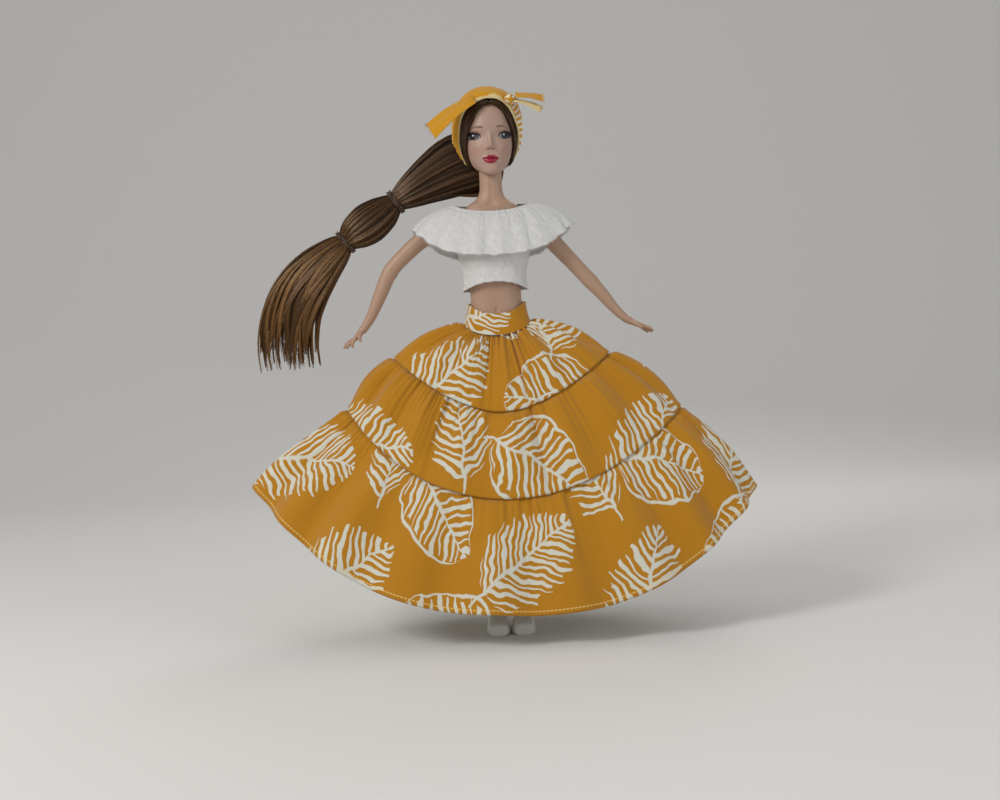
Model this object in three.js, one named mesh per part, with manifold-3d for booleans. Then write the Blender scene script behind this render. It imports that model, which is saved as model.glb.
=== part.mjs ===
// Fashion doll with a long gathered tail of hair, headscarf, off-shoulder top, tiered skirt and shoes.
// Millimetres, +Z up, the face looks along -Y, the origin lies on the ground between the soles.

import * as THREE from "three";
import Module from "manifold-3d";
import { mergeVertices } from "three/addons/utils/BufferGeometryUtils.js";

const wasm = await Module();
wasm.setup();

// Shared fits
const gap = 0.35; // between pieces that meet
const runningGap = 0.5; // between pieces that turn past each other
const layerGap = 0.6; // between curved sheets that lie over each other
const cutOverrun = 4; // how far a cutting tool runs past what it cuts
const degree = Math.PI / 180;

// Body heights
const hipHeight = 150; // hip axle above the ground
const torsoLength = 100.2; // hip axle to the top of the neck
const headHeight = 42; // chin to crown
const chinDrop = 2.4; // the chin hangs this far below the top of the neck

// Torso
const hipHalfWidth = 19.2;
const waistHalfWidth = 13.9;
const bustHalfWidth = 18.2;
const shoulderHalfWidth = 16.6;
const neckRadius = 6.1;
const bustDepth = 14.6;
const backDepth = 10.2;
const bellyDepth = 10.4;
const seatDepth = 12.2;
const torsoWall = 1.5;
const crotchRadius = 12.4; // rounding of the pelvis about the hip axle
const pelvisHalfWidth = 8.2; // pelvis between the two leg tops

// Neck and head
const neckStemRadius = 3.7;
const neckPlugDepth = 9;
const neckBallRadius = 6.1;
const neckBallRise = 9; // ball centre above the top of the neck
const headHalfWidth = 12.9;
const faceDepth = 14.6;
const skullDepth = 15.4;
const headWall = 1.9;
const headYaw = 6 * degree;

// Shoulders and arms
const shoulderShare = 0.7285; // shoulder joint above the hip axle, as a share of the torso's length
const shoulderReach = 22.5; // shoulder joint from the middle
const swivelDiscRadius = 4.4;
const swivelDiscThickness = 1.6;
const swivelShaftRadius = 2.2;
const swivelFlangeRadius = 4;
const swivelFlangeThickness = 1.4;
const tongueThickness = 2.2;
const tongueRadius = 2.9;
const shoulderPinRadius = 1;
const armSpan = 62.5; // shoulder joint to fingertip, measured sideways
const armTopRadius = 5.2;

// Hips and legs
const hipAxleRadius = 1.8;
const hipSocketDepth = 6;
const legTopRadius = 12.8;
const legTopWidth = 12.6;
const legDepthAtThigh = 9.4;
const thighHalfWidth = 9;
const kneeHalfWidth = 5.6;
const calfHalfWidth = 6.2;
const ankleHalfWidth = 3.4;
const ankleHeight = 17;
const footSpacing = 6.9; // middle of each foot from the middle of the body
const innerThighGap = 0.6;

// Shoes
const shoeHalfWidth = 6.2;
const shoeLength = 27;
const shoeHeight = 11.5;
const toeReach = 17; // toe tip in front of the ankle

// Hair
const hairThickness = 1.7;
const tailLength = 148;
const tailStandOff = 14; // how far the tail keeps behind the middle of the body
const tailRootShare = 0.262; // height of its root, as a share of the head's height
const tieThickness = 0.9;
const tieWidth = 1.5;

// Cloth
const clothThickness = 0.8;
const scarfThickness = 0.9;
const scarfHalfWidth = 8;
const scarfNapeHalfWidth = 3.2;
const scarfTopLean = -0.2; // sine of the forward lean over the crown
const scarfNapeLean = 0.75; // and of the backward lean behind the neck
const scarfCrownPuff = 1.4;
const scarfSideFlare = 4.2; // the band's back edge stands out this far more at the sides
const knotRadius = 3.4;
const scarfEndLength = 13;
const scarfEndHalfWidth = 5.6;
const scarfFlapLength = 28;
const scarfFlapHalfWidth = 7.5;
const scarfEndFold = 0.9; // height of the ridge along a free end
const scarfFlapFold = 1.6;
const waistbandHeight = 11.5;
const waistbandTopShare = 0.2944; // top edge at the sides above the hip axle, a share of the torso's length
const waistbandDip = 6;
const hemHalfWidth = 135;
const hemHalfDepth = 52;
const hemSideHeight = 78;
const hemLean = 7;
const hemFrontHeight = 18;
const upperTierShare = 0.3;
const middleTierShare = 0.61;
const tierFolds = [13, 17, 19];
const tierFoldDepth = [1.1, 1.5, 2];
const bodiceTopShare = 0.7585; // edges above the hip axle, as shares of the torso's length
const bodiceBottomShare = 0.3593;
const bodiceArch = 4.6;
const bodiceBottomHalfWidth = 16.8;
const ruffleHalfWidth = 43;
const ruffleTopShare = 0.8224;
const ruffleDrop = 23;
const ruffleSideDrop = 12;
const ruffleFolds = 20;
const ruffleFoldDepth = 0.9;
const ruffleBackDrop = 7;
const ruffleFrontDepth = 19.5;
const ruffleBackDepth = 16;
const ruffleBulge = 0.1;
const necklineHalfWidth = 20.6;
const necklineDepth = 9.6;
const necklineDip = 4.4;
const elasticThickness = 0.7;
const armholeEase = 2.4;
const tierPuff = 1.6;
const tierBulgeShare = 0.07;
const tierSagShare = 0.12; // on the side that the tail hangs over
const tierSeamShare = 0.006;
const waistSeamShare = 0.014;
const closureHalfWidth = 2.6;
const closureThickness = 0.7;
const closureMargin = 1;

// Colours with their finish
const materials = {
  skin: new THREE.MeshStandardMaterial({ color: "#d9a98c", roughness: 0.5, metalness: 0 }),
  white: new THREE.MeshStandardMaterial({ color: "#eceae6", roughness: 0.9, metalness: 0 }),
  mustard: new THREE.MeshStandardMaterial({ color: "#c98d1c", roughness: 0.85, metalness: 0 }),
  hair: new THREE.MeshStandardMaterial({ color: "#4f3524", roughness: 0.45, metalness: 0 }),
  nylon: new THREE.MeshStandardMaterial({ color: "#e6dccd", roughness: 0.4, metalness: 0 }),
  elastic: new THREE.MeshStandardMaterial({ color: "#3a2c22", roughness: 0.8, metalness: 0 }),
  shoe: new THREE.MeshStandardMaterial({ color: "#e4e1db", roughness: 0.35, metalness: 0 }),
  tape: new THREE.MeshStandardMaterial({ color: "#f2f0ea", roughness: 0.9, metalness: 0 }),
};

const doll = new THREE.Group();

function addPiece(name, geometry, material, parent = doll) {
  const mesh = new THREE.Mesh(geometry, material);
  mesh.name = name;
  parent.add(mesh);
  return mesh;
}

// Closed surfaces from grids of points

function weld(positions, triangles) {
  const geometry = new THREE.BufferGeometry();
  geometry.setAttribute("position", new THREE.Float32BufferAttribute(positions, 3));
  geometry.setIndex(triangles);
  const welded = mergeVertices(geometry, 1e-4);
  const corners = welded.index.array;
  const kept = [];
  for (let i = 0; i < corners.length; i += 3) {
    const [a, b, c] = [corners[i], corners[i + 1], corners[i + 2]];
    if (a !== b && b !== c && c !== a) kept.push(a, b, c);
  }
  welded.setIndex(kept);
  if (signedVolume(welded) < 0) {
    for (let i = 0; i < kept.length; i += 3) [kept[i], kept[i + 1]] = [kept[i + 1], kept[i]];
    welded.setIndex(kept);
  }
  return welded;
}

function signedVolume(geometry) {
  const corner = [new THREE.Vector3(), new THREE.Vector3(), new THREE.Vector3()];
  let volume = 0;
  for (let i = 0; i < geometry.index.count; i += 3) {
    corner.forEach((v, k) => v.fromBufferAttribute(geometry.attributes.position, geometry.index.getX(i + k)));
    volume += corner[0].dot(corner[1].cross(corner[2])) / 6;
  }
  return volume;
}

// A slab between two grids of points, grid[column][row]; a wrapped slab closes on its first column.
function slab(outer, inner, wrap) {
  const positions = [];
  const triangles = [];
  const columns = outer.length;
  const rows = outer[0].length;
  for (const grid of [outer, inner]) {
    for (const column of grid) for (const point of column) positions.push(point.x, point.y, point.z);
  }
  const index = (side, column, row) => (side * columns + (column % columns)) * rows + row;
  const quad = (a, b, c, d) => triangles.push(a, b, c, a, c, d);
  const spans = wrap ? columns : columns - 1;
  for (let i = 0; i < spans; i++) {
    for (let j = 0; j < rows - 1; j++) {
      quad(index(0, i, j), index(0, i + 1, j), index(0, i + 1, j + 1), index(0, i, j + 1));
      quad(index(1, i, j), index(1, i, j + 1), index(1, i + 1, j + 1), index(1, i + 1, j));
    }
    quad(index(0, i + 1, 0), index(0, i, 0), index(1, i, 0), index(1, i + 1, 0));
    quad(index(0, i, rows - 1), index(0, i + 1, rows - 1), index(1, i + 1, rows - 1), index(1, i, rows - 1));
  }
  if (!wrap) {
    for (let j = 0; j < rows - 1; j++) {
      const last = columns - 1;
      quad(index(0, 0, j), index(0, 0, j + 1), index(1, 0, j + 1), index(1, 0, j));
      quad(index(0, last, j + 1), index(0, last, j), index(1, last, j), index(1, last, j + 1));
    }
  }
  return weld(positions, triangles);
}

// A solid through closed rings of points, capped at both ends.
function loft(rings) {
  const positions = [];
  const triangles = [];
  const count = rings[0].length;
  for (const ring of rings) for (const point of ring) positions.push(point.x, point.y, point.z);
  for (let i = 0; i < rings.length - 1; i++) {
    for (let j = 0; j < count; j++) {
      const next = (j + 1) % count;
      const [a, b] = [i * count + j, i * count + next];
      triangles.push(a, b, b + count, a, b + count, a + count);
    }
  }
  for (const [ring, flip] of [[0, true], [rings.length - 1, false]]) {
    const middle = new THREE.Vector3();
    rings[ring].forEach((point) => middle.add(point));
    middle.divideScalar(count);
    const centre = positions.length / 3;
    positions.push(middle.x, middle.y, middle.z);
    for (let j = 0; j < count; j++) {
      const [a, b] = [ring * count + j, ring * count + ((j + 1) % count)];
      if (flip) triangles.push(centre, b, a);
      else triangles.push(centre, a, b);
    }
  }
  return weld(positions, triangles);
}

// Joining and cutting

function bare(geometry) {
  const copy = geometry.index ? geometry.clone() : mergeVertices(geometry.clone());
  copy.deleteAttribute("normal");
  copy.deleteAttribute("uv");
  return mergeVertices(copy, 1e-4);
}

function solidOf(geometry) {
  const clean = bare(geometry);
  const triVerts = new Uint32Array(clean.index.array);
  const vertProperties = new Float32Array(clean.attributes.position.array);
  return new wasm.Manifold(new wasm.Mesh({ numProp: 3, vertProperties, triVerts }));
}

function geometryOf(solid) {
  const mesh = solid.getMesh();
  const geometry = new THREE.BufferGeometry();
  geometry.setAttribute("position", new THREE.BufferAttribute(new Float32Array(mesh.vertProperties), 3));
  geometry.setIndex(new THREE.BufferAttribute(new Uint32Array(mesh.triVerts), 1));
  return geometry;
}

function cut(body, ...tools) {
  return geometryOf(tools.reduce((left, tool) => left.subtract(solidOf(tool)), solidOf(body)));
}

function join(body, ...others) {
  return geometryOf(others.reduce((sum, other) => sum.add(solidOf(other)), solidOf(body)));
}

function common(body, other) {
  return geometryOf(solidOf(body).intersect(solidOf(other)));
}

function box(low, high) {
  const size = high.clone().sub(low);
  const geometry = new THREE.BoxGeometry(size.x, size.y, size.z);
  const middle = low.clone().add(high).divideScalar(2);
  return geometry.translate(middle.x, middle.y, middle.z);
}

// A lathed solid about the X axis through a point; profile rows are [x, radius].
function turnedOnX(profile, centre, segments = 20) {
  const points = profile.map(([x, radius]) => new THREE.Vector2(radius, x));
  const geometry = new THREE.LatheGeometry(points, segments);
  geometry.rotateZ(-Math.PI / 2);
  return geometry.translate(centre.x, centre.y, centre.z);
}

// A lathed solid about the vertical axis; profile rows are [radius, z].
function turnedOnZ(profile, segments = 24) {
  const points = profile.map(([radius, z]) => new THREE.Vector2(radius, z));
  return new THREE.LatheGeometry(points, segments).rotateX(Math.PI / 2);
}

function mirrored(geometry) {
  const copy = geometry.clone().scale(-1, 1, 1);
  const corners = copy.index.array;
  for (let i = 0; i < corners.length; i += 3) [corners[i], corners[i + 1]] = [corners[i + 1], corners[i]];
  return copy;
}

const point = (x, y, z) => new THREE.Vector3(x, y, z);
const mix = (a, b, share) => a + (b - a) * share;
const clampShare = (value) => Math.min(1, Math.max(0, value));
const ease = (value) => clampShare(value) ** 2 * (3 - 2 * clampShare(value));

// Smooth interpolation through rows whose first entry is the position along the piece.
function smoothRow(rows, at) {
  const last = rows.length - 1;
  if (at <= rows[0][0]) return rows[0].slice(1);
  if (at >= rows[last][0]) return rows[last].slice(1);
  const i = rows.findIndex((row) => row[0] > at) - 1;
  const [r1, r2] = [rows[i], rows[i + 1]];
  const [r0, r3] = [rows[Math.max(i - 1, 0)], rows[Math.min(i + 2, last)]];
  const span = r2[0] - r1[0];
  const t = (at - r1[0]) / span;
  const slope = (a, b, k) => (b[0] === a[0] ? 0 : ((b[k] - a[k]) / (b[0] - a[0])) * span);
  return r1.slice(1).map((value, k) => {
    const [m1, m2] = [slope(r0, r2, k + 1), slope(r1, r3, k + 1)];
    const blend = (2 * t ** 3 - 3 * t ** 2 + 1) * value + (t ** 3 - 2 * t ** 2 + t) * m1;
    return blend + (3 * t ** 2 - 2 * t ** 3) * r2[k + 1] + (t ** 3 - t ** 2) * m2;
  });
}

// A point on an oval whose front (-Y) and back (+Y) have their own depths.
function ovalPoint(angle, halfWidth, front, back, roundness = 2.2) {
  const [c, s] = [Math.cos(angle), Math.sin(angle)];
  const power = 2 / roundness;
  const depth = s < 0 ? front : back;
  return [halfWidth * Math.sign(c) * Math.abs(c) ** power, depth * Math.sign(s) * Math.abs(s) ** power];
}

// Torso: two plastic shells that meet on the plane Y = 0

const neckTop = hipHeight + torsoLength;
const waistbandTop = hipHeight + waistbandTopShare * torsoLength;
const bodiceTop = hipHeight + bodiceTopShare * torsoLength;
const bodiceBottom = hipHeight + bodiceBottomShare * torsoLength;
const ruffleTop = hipHeight + ruffleTopShare * torsoLength;
const shoulderHeight = hipHeight + shoulderShare * torsoLength;

// Rows: share of the way from the hip axle to the neck top, half width, front depth, back depth.
const torsoRows = [
  [-0.122, hipHalfWidth * 0.4, bellyDepth * 0.3, seatDepth * 0.3],
  [-0.09, hipHalfWidth * 0.62, bellyDepth * 0.8, seatDepth * 0.72],
  [-0.04, hipHalfWidth * 0.89, bellyDepth * 1.08, seatDepth * 0.96],
  [0, hipHalfWidth, bellyDepth * 1.13, seatDepth],
  [0.08, hipHalfWidth * 0.99, bellyDepth * 1.08, seatDepth * 0.98],
  [0.15, hipHalfWidth * 0.91, bellyDepth * 1.02, seatDepth * 0.9],
  [0.22, waistHalfWidth * 1.09, bellyDepth * 0.98, backDepth * 0.95],
  [0.3, waistHalfWidth, bellyDepth * 0.93, backDepth * 0.88],
  [0.38, waistHalfWidth * 1.01, bellyDepth, backDepth * 0.92],
  [0.46, waistHalfWidth * 1.14, bustDepth * 0.82, backDepth * 0.98],
  [0.54, bustHalfWidth * 0.98, bustDepth * 0.97, backDepth],
  [0.58, bustHalfWidth, bustDepth, backDepth],
  [0.64, bustHalfWidth * 0.98, bustDepth * 0.9, backDepth],
  [0.7, bustHalfWidth * 0.94, bustDepth * 0.72, backDepth * 0.98],
  [0.76, shoulderHalfWidth, bustDepth * 0.59, backDepth * 0.9],
  [0.8, shoulderHalfWidth * 0.9, bustDepth * 0.52, backDepth * 0.82],
  [0.83, shoulderHalfWidth * 0.7, bustDepth * 0.47, backDepth * 0.73],
  [0.855, shoulderHalfWidth * 0.5, neckRadius * 1.05, neckRadius * 1.11],
  [0.89, neckRadius * 1.07, neckRadius, neckRadius * 1.02],
  [0.93, neckRadius, neckRadius, neckRadius],
  [1, neckRadius, neckRadius, neckRadius],
];
const torsoRoundness = 2.3;

const torsoAt = (z) => smoothRow(torsoRows, (z - hipHeight) / torsoLength);

// A point at an angle round the torso, held off its skin.
function torsoPoint(angle, z, offset) {
  const [halfWidth, front, back] = torsoAt(z);
  const [x, y] = ovalPoint(angle, halfWidth + offset, front + offset, back + offset, torsoRoundness);
  return point(x, y, z);
}

function torsoRing(z, offset, count) {
  return Array.from({ length: count }, (_, k) => torsoPoint((k / count) * 2 * Math.PI, z, offset));
}

function legTopProfile(offset) {
  const inner = pelvisHalfWidth + gap - offset;
  const widthShares = [[0, 1], [0.42, 1], [0.7, 0.88], [0.9, 0.62], [0.99, 0.28]];
  const rim = widthShares.map(([share, radius]) => [
    inner + offset + share * legTopWidth + (share > 0 ? offset : -offset),
    radius * legTopRadius + offset,
  ]);
  return [[inner, 0], ...rim, [inner + 2 * offset + legTopWidth, 0]];
}

const hipCentre = point(0, 0, hipHeight);
const shoulderRecess = shoulderReach - armTopRadius - runningGap - swivelDiscThickness - gap;
const shoulderBlock = shoulderRecess - swivelFlangeThickness * 2.4; // inner face of the shoulder wall

function buildTorso() {
  const count = 22;
  const heightShares = [-0.12, -0.09, -0.04, 0.02, 0.1, 0.17, 0.24, 0.3, 0.37, 0.44, 0.51, 0.57, 0.63];
  heightShares.push(0.7, 0.76, 0.8, 0.83, 0.855, 0.9, 1);
  const outer = loft(heightShares.map((share) => torsoRing(hipHeight + share * torsoLength, 0, count)));
  const hollowShares = [0.17, 0.3, 0.44, 0.57, 0.66, 0.72, 0.78, 0.83];
  const hollow = loft(
    hollowShares.map((share) => {
      const ring = torsoRing(hipHeight + share * torsoLength, -torsoWall, 16);
      const limit = share > 0.6 ? shoulderBlock : bustHalfWidth;
      ring.forEach((p) => (p.x = Math.sign(p.x) * Math.min(Math.abs(p.x), limit)));
      return ring;
    }),
  );
  const neckHole = turnedOnZ([
    [0, neckTop - neckPlugDepth * 1.9],
    [neckStemRadius + gap, neckTop - neckPlugDepth * 1.9],
    [neckStemRadius + gap, neckTop + cutOverrun],
    [0, neckTop + cutOverrun],
  ]);
  const legSpace = turnedOnX(legTopProfile(runningGap), hipCentre, 24);
  const legBelow = turnedOnX(
    [
      [pelvisHalfWidth, 0],
      [pelvisHalfWidth, legTopRadius + runningGap],
      [hipHalfWidth + cutOverrun, legTopRadius + runningGap],
      [hipHalfWidth + cutOverrun, 0],
    ],
    hipCentre,
    24,
  );
  const axleHole = turnedOnX(
    [
      [-hipHalfWidth, 0],
      [-hipHalfWidth, hipAxleRadius + runningGap],
      [hipHalfWidth, hipAxleRadius + runningGap],
      [hipHalfWidth, 0],
    ],
    hipCentre,
  );
  const shoulder = point(0, 0, shoulderHeight);
  const armRecess = turnedOnX(
    [
      [shoulderRecess, 0],
      [shoulderRecess, swivelDiscRadius + runningGap],
      [shoulderReach, swivelDiscRadius + runningGap],
      [shoulderReach, 0],
    ],
    shoulder,
    20,
  );
  const shaftHole = turnedOnX(
    [
      [0, 0],
      [0, swivelShaftRadius + runningGap],
      [shoulderReach, swivelShaftRadius + runningGap],
      [shoulderReach, 0],
    ],
    shoulder,
  );
  const tools = [hollow, neckHole, axleHole, legSpace, legBelow, armRecess, shaftHole];
  [legSpace, legBelow, armRecess, shaftHole].forEach((tool) => tools.push(mirrored(tool)));
  const whole = cut(outer, ...tools);
  const reach = hipHalfWidth + bustHalfWidth;
  const frontHalf = box(point(-reach, -reach, 0), point(reach, -gap / 2, neckTop + cutOverrun));
  const backHalf = box(point(-reach, gap / 2, 0), point(reach, reach, neckTop + cutOverrun));
  addPiece("torso_front_shell", common(whole, frontHalf), materials.skin);
  addPiece("torso_back_shell", common(whole, backHalf), materials.skin);
}
buildTorso();

// Hip axle across the pelvis, with a head in each leg

function buildHipAxle() {
  const end = pelvisHalfWidth + hipSocketDepth;
  const profile = [[-end, 0], [-end, hipAxleRadius], [end, hipAxleRadius], [end, 0]];
  addPiece("hip_axle", turnedOnX(profile, hipCentre), materials.nylon);
}
buildHipAxle();

// Neck knob: a plug in the neck, a stem through the underside of the head and a ball inside it

const headBase = neckTop - chinDrop;

function buildNeckKnob() {
  const ballCentre = neckTop + neckBallRise;
  const profile = [[0, neckTop - neckPlugDepth], [neckStemRadius, neckTop - neckPlugDepth]];
  const start = Math.asin(neckStemRadius / neckBallRadius);
  const steps = 6;
  for (let k = 0; k <= steps; k++) {
    const turn = start + ((Math.PI - start) * k) / steps;
    profile.push([neckBallRadius * Math.sin(turn), ballCentre - neckBallRadius * Math.cos(turn)]);
  }
  profile[profile.length - 1][0] = 0;
  addPiece("neck_knob", turnedOnZ(profile, 16), materials.nylon);
}
buildNeckKnob();

// Head: hollow vinyl, turned a little to its left at rest

const head = new THREE.Group();
head.rotation.z = headYaw;
doll.add(head);

// Shares of head height, half width, face depth (centre), face depth and skull depth.
const headShares = [
  [0, 0.19, -0.66, 0.15, 0.17],
  [0.029, 0.36, -0.55, 0.32, 0.42],
  [0.076, 0.56, -0.27, 0.62, 0.62],
  [0.143, 0.745, -0.1, 0.82, 0.68],
  [0.238, 0.885, 0, 0.93, 0.82],
  [0.357, 0.975, 0, 0.96, 0.95],
  [0.476, 1, 0, 0.965, 1],
  [0.62, 0.99, 0, 0.975, 1],
  [0.76, 0.93, 0.02, 0.91, 0.94],
  [0.88, 0.75, 0.04, 0.74, 0.75],
  [0.95, 0.5, 0.05, 0.49, 0.5],
  [0.988, 0.24, 0.055, 0.24, 0.24],
  [1, 0.03, 0.055, 0.03, 0.03],
];
const headRoundness = 2.15;

const headCentre = point(0, 0, headBase + headHeight / 2);

// A point at an angle round the head and a share of its height, held off the skin.
function headPoint(angle, riseShare, offset) {
  const rise = clampShare(riseShare);
  const [width, centre, front, back] = smoothRow(headShares, rise);
  const [x, y] = ovalPoint(
    angle,
    width * headHalfWidth,
    front * faceDepth,
    back * skullDepth,
    headRoundness,
  );
  const skin = point(x, y + centre * faceDepth, headBase + rise * headHeight);
  const outward = skin.clone().sub(headCentre).normalize();
  return skin.addScaledVector(outward, offset);
}

// The point where a line from the head's centre leaves the skin, held off it.
function headReach(direction, offset) {
  let [low, high] = [headHalfWidth * 0.4, headHeight];
  for (let k = 0; k < 30; k++) {
    const middle = (low + high) / 2;
    const p = headCentre.clone().addScaledVector(direction, middle);
    const rise = (p.z - headBase) / headHeight;
    const [width, centreShare, front, back] = smoothRow(headShares, clampShare(rise));
    const y = p.y - centreShare * faceDepth;
    const depth = y < 0 ? front * faceDepth : back * skullDepth;
    const inside =
      rise > 0 &&
      rise < 1 &&
      (Math.abs(p.x) / (width * headHalfWidth)) ** headRoundness + (Math.abs(y) / depth) ** headRoundness < 1;
    if (inside) low = middle;
    else high = middle;
  }
  return headCentre.clone().addScaledVector(direction, low + offset);
}

function headLoft(offset, count = 24) {
  const rises = [0, 0.02, 0.05, 0.1, 0.16, 0.24, 0.32, 0.4, 0.5, 0.6, 0.7, 0.8, 0.88, 0.94, 0.98, 1];
  return loft(
    rises.map((rise) =>
      Array.from({ length: count }, (_, k) => headPoint((k / count) * 2 * Math.PI, rise, offset)),
    ),
  );
}

function buildHead() {
  const noseRise = 0.36 * headHeight;
  const noseLength = 0.17 * headHeight;
  const nose = new THREE.ConeGeometry(noseLength * 0.27, noseLength, 8);
  nose.rotateX(-14 * degree);
  nose.scale(1, 1.2, 1);
  nose.rotateX(Math.PI / 2);
  nose.translate(0, -faceDepth * 0.965, headBase + noseRise + noseLength * 0.4);
  const outer = join(headLoft(0), nose);
  const floor = neckTop + gap + headWall;
  const crown = headBase + headHeight - headWall;
  const cavity = new THREE.SphereGeometry(1, 14, 10);
  cavity.scale(headHalfWidth - headWall, faceDepth - headWall * 1.3, (crown - floor) / 2);
  cavity.translate(0, 0, (crown + floor) / 2);
  const socket = turnedOnZ([
    [0, headBase - cutOverrun],
    [neckRadius + runningGap, headBase - cutOverrun],
    [neckRadius + runningGap, neckTop + gap],
    [0, neckTop + gap],
  ]);
  const stemHole = turnedOnZ([
    [0, headBase - cutOverrun],
    [neckStemRadius + runningGap, headBase - cutOverrun],
    [neckStemRadius + runningGap, floor + cutOverrun],
    [0, floor + cutOverrun],
  ]);
  addPiece("head_shell", cut(outer, cavity, socket, stemHole), materials.skin, head);
}
buildHead();

// Shoulder swivels: a shaft through the torso wall with a flange inside, a disc and a hinge tongue outside

const shoulderCentre = point(shoulderReach, 0, shoulderHeight);

function swivelGeometry() {
  const discOuter = shoulderRecess + gap + swivelDiscThickness;
  const flangeOuter = shoulderBlock - gap;
  const turned = turnedOnX(
    [
      [flangeOuter - swivelFlangeThickness, 0],
      [flangeOuter - swivelFlangeThickness, swivelFlangeRadius],
      [flangeOuter, swivelFlangeRadius],
      [flangeOuter, swivelShaftRadius],
      [shoulderRecess + gap, swivelShaftRadius],
      [shoulderRecess + gap, swivelDiscRadius],
      [discOuter, swivelDiscRadius],
      [discOuter, 0],
    ],
    point(0, 0, shoulderHeight),
  );
  const half = tongueThickness / 2;
  const overlap = swivelDiscThickness / 2;
  const web = box(
    point(discOuter - overlap, -half, shoulderHeight - tongueRadius),
    point(shoulderReach, half, shoulderHeight + tongueRadius),
  );
  const eye = new THREE.CylinderGeometry(tongueRadius, tongueRadius, tongueThickness, 20);
  eye.translate(shoulderReach, 0, shoulderHeight);
  const bore = new THREE.CylinderGeometry(
    shoulderPinRadius + gap,
    shoulderPinRadius + gap,
    tongueThickness + cutOverrun,
    16,
  );
  bore.translate(shoulderReach, 0, shoulderHeight);
  return cut(join(turned, web, eye), bore);
}

// Arms: one piece each, from the shoulder ball to the fingertips.
// Shares of the arm span: outward, downward, half width in the plane of the arm, half depth.
const leftArmShares = [
  [0, 0, 0.078, 0.078],
  [0.1, -0.12, 0.077, 0.076],
  [0.186, -0.225, 0.074, 0.074],
  [0.312, -0.368, 0.069, 0.07],
  [0.44, -0.517, 0.066, 0.067],
  [0.568, -0.667, 0.056, 0.058],
  [0.656, -0.779, 0.047, 0.05],
  [0.752, -0.878, 0.04, 0.044],
  [0.84, -0.93, 0.046, 0.066],
  [0.92, -0.965, 0.036, 0.062],
  [0.98, -0.995, 0.022, 0.05],
  [1, -1.005, 0.01, 0.03],
];
const rightArmShares = [
  [0, 0, 0.078, 0.078],
  [0.13, -0.06, 0.077, 0.076],
  [0.258, -0.122, 0.074, 0.074],
  [0.464, -0.296, 0.069, 0.07],
  [0.555, -0.4, 0.068, 0.068],
  [0.634, -0.56, 0.062, 0.063],
  [0.733, -0.768, 0.045, 0.05],
  [0.785, -0.85, 0.041, 0.045],
  [0.86, -0.93, 0.048, 0.066],
  [0.93, -0.99, 0.038, 0.062],
  [0.98, -1.03, 0.024, 0.05],
  [1, -1.045, 0.01, 0.03],
];

const armSides = 12;

function armGeometry(shares) {
  const centres = shares.map(([out, down]) => point(out * armSpan, 0, down * armSpan).add(shoulderCentre));
  const rings = shares.map(([, , width, depth], i) => {
    const before = centres[Math.max(i - 1, 0)];
    const after = centres[Math.min(i + 1, centres.length - 1)];
    const along = after.clone().sub(before).normalize();
    const across = point(-along.z, 0, along.x);
    return Array.from({ length: armSides }, (_, k) => {
      const angle = (k / armSides) * 2 * Math.PI;
      return centres[i]
        .clone()
        .addScaledVector(across, width * armSpan * Math.cos(angle))
        .add(point(0, depth * armSpan * Math.sin(angle), 0));
    });
  });
  const wrist = centres[8];
  const thumbLength = armSpan * 0.13;
  const thumb = new THREE.CapsuleGeometry(armSpan * 0.021, thumbLength, 3, 8);
  thumb.rotateZ(Math.PI / 2 - 0.9);
  thumb.rotateX(Math.PI / 2);
  thumb.translate(wrist.x - armSpan * 0.01, -armSpan * 0.06, wrist.z - armSpan * 0.045);
  const ball = new THREE.SphereGeometry(armTopRadius, 14, 10);
  ball.translate(shoulderCentre.x, 0, shoulderCentre.z);
  const half = tongueThickness / 2 + runningGap;
  const reach = armTopRadius * 1.6;
  const slot = box(
    point(shoulderReach - reach, -half, shoulderHeight - tongueRadius - runningGap),
    point(shoulderReach + tongueRadius + runningGap, half, shoulderHeight + reach),
  );
  const bore = new THREE.CylinderGeometry(
    shoulderPinRadius + gap,
    shoulderPinRadius + gap,
    (armTopRadius + cutOverrun) * 2,
    16,
  );
  bore.translate(shoulderReach, 0, shoulderHeight);
  return cut(join(loft(rings), ball, thumb), slot, bore);
}

function buildArms() {
  const pin = new THREE.CylinderGeometry(shoulderPinRadius, shoulderPinRadius, armTopRadius * 1.6, 14);
  pin.translate(shoulderReach, 0, shoulderHeight);
  const swivel = swivelGeometry();
  addPiece("left_shoulder_swivel", swivel, materials.nylon);
  addPiece("left_shoulder_pin", bare(pin), materials.nylon);
  addPiece("left_arm", armGeometry(leftArmShares), materials.skin);
  addPiece("right_shoulder_swivel", mirrored(swivel), materials.nylon);
  addPiece("right_shoulder_pin", mirrored(bare(pin)), materials.nylon);
  addPiece("right_arm", mirrored(armGeometry(rightArmShares)), materials.skin);
}
buildArms();

// Legs and shoes

const ankleShare = ankleHeight / hipHeight;
const instepShare = (shoeHeight * 0.65) / hipHeight; // the leg starts inside the shoe
const thighMiddle = thighHalfWidth + innerThighGap;
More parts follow.
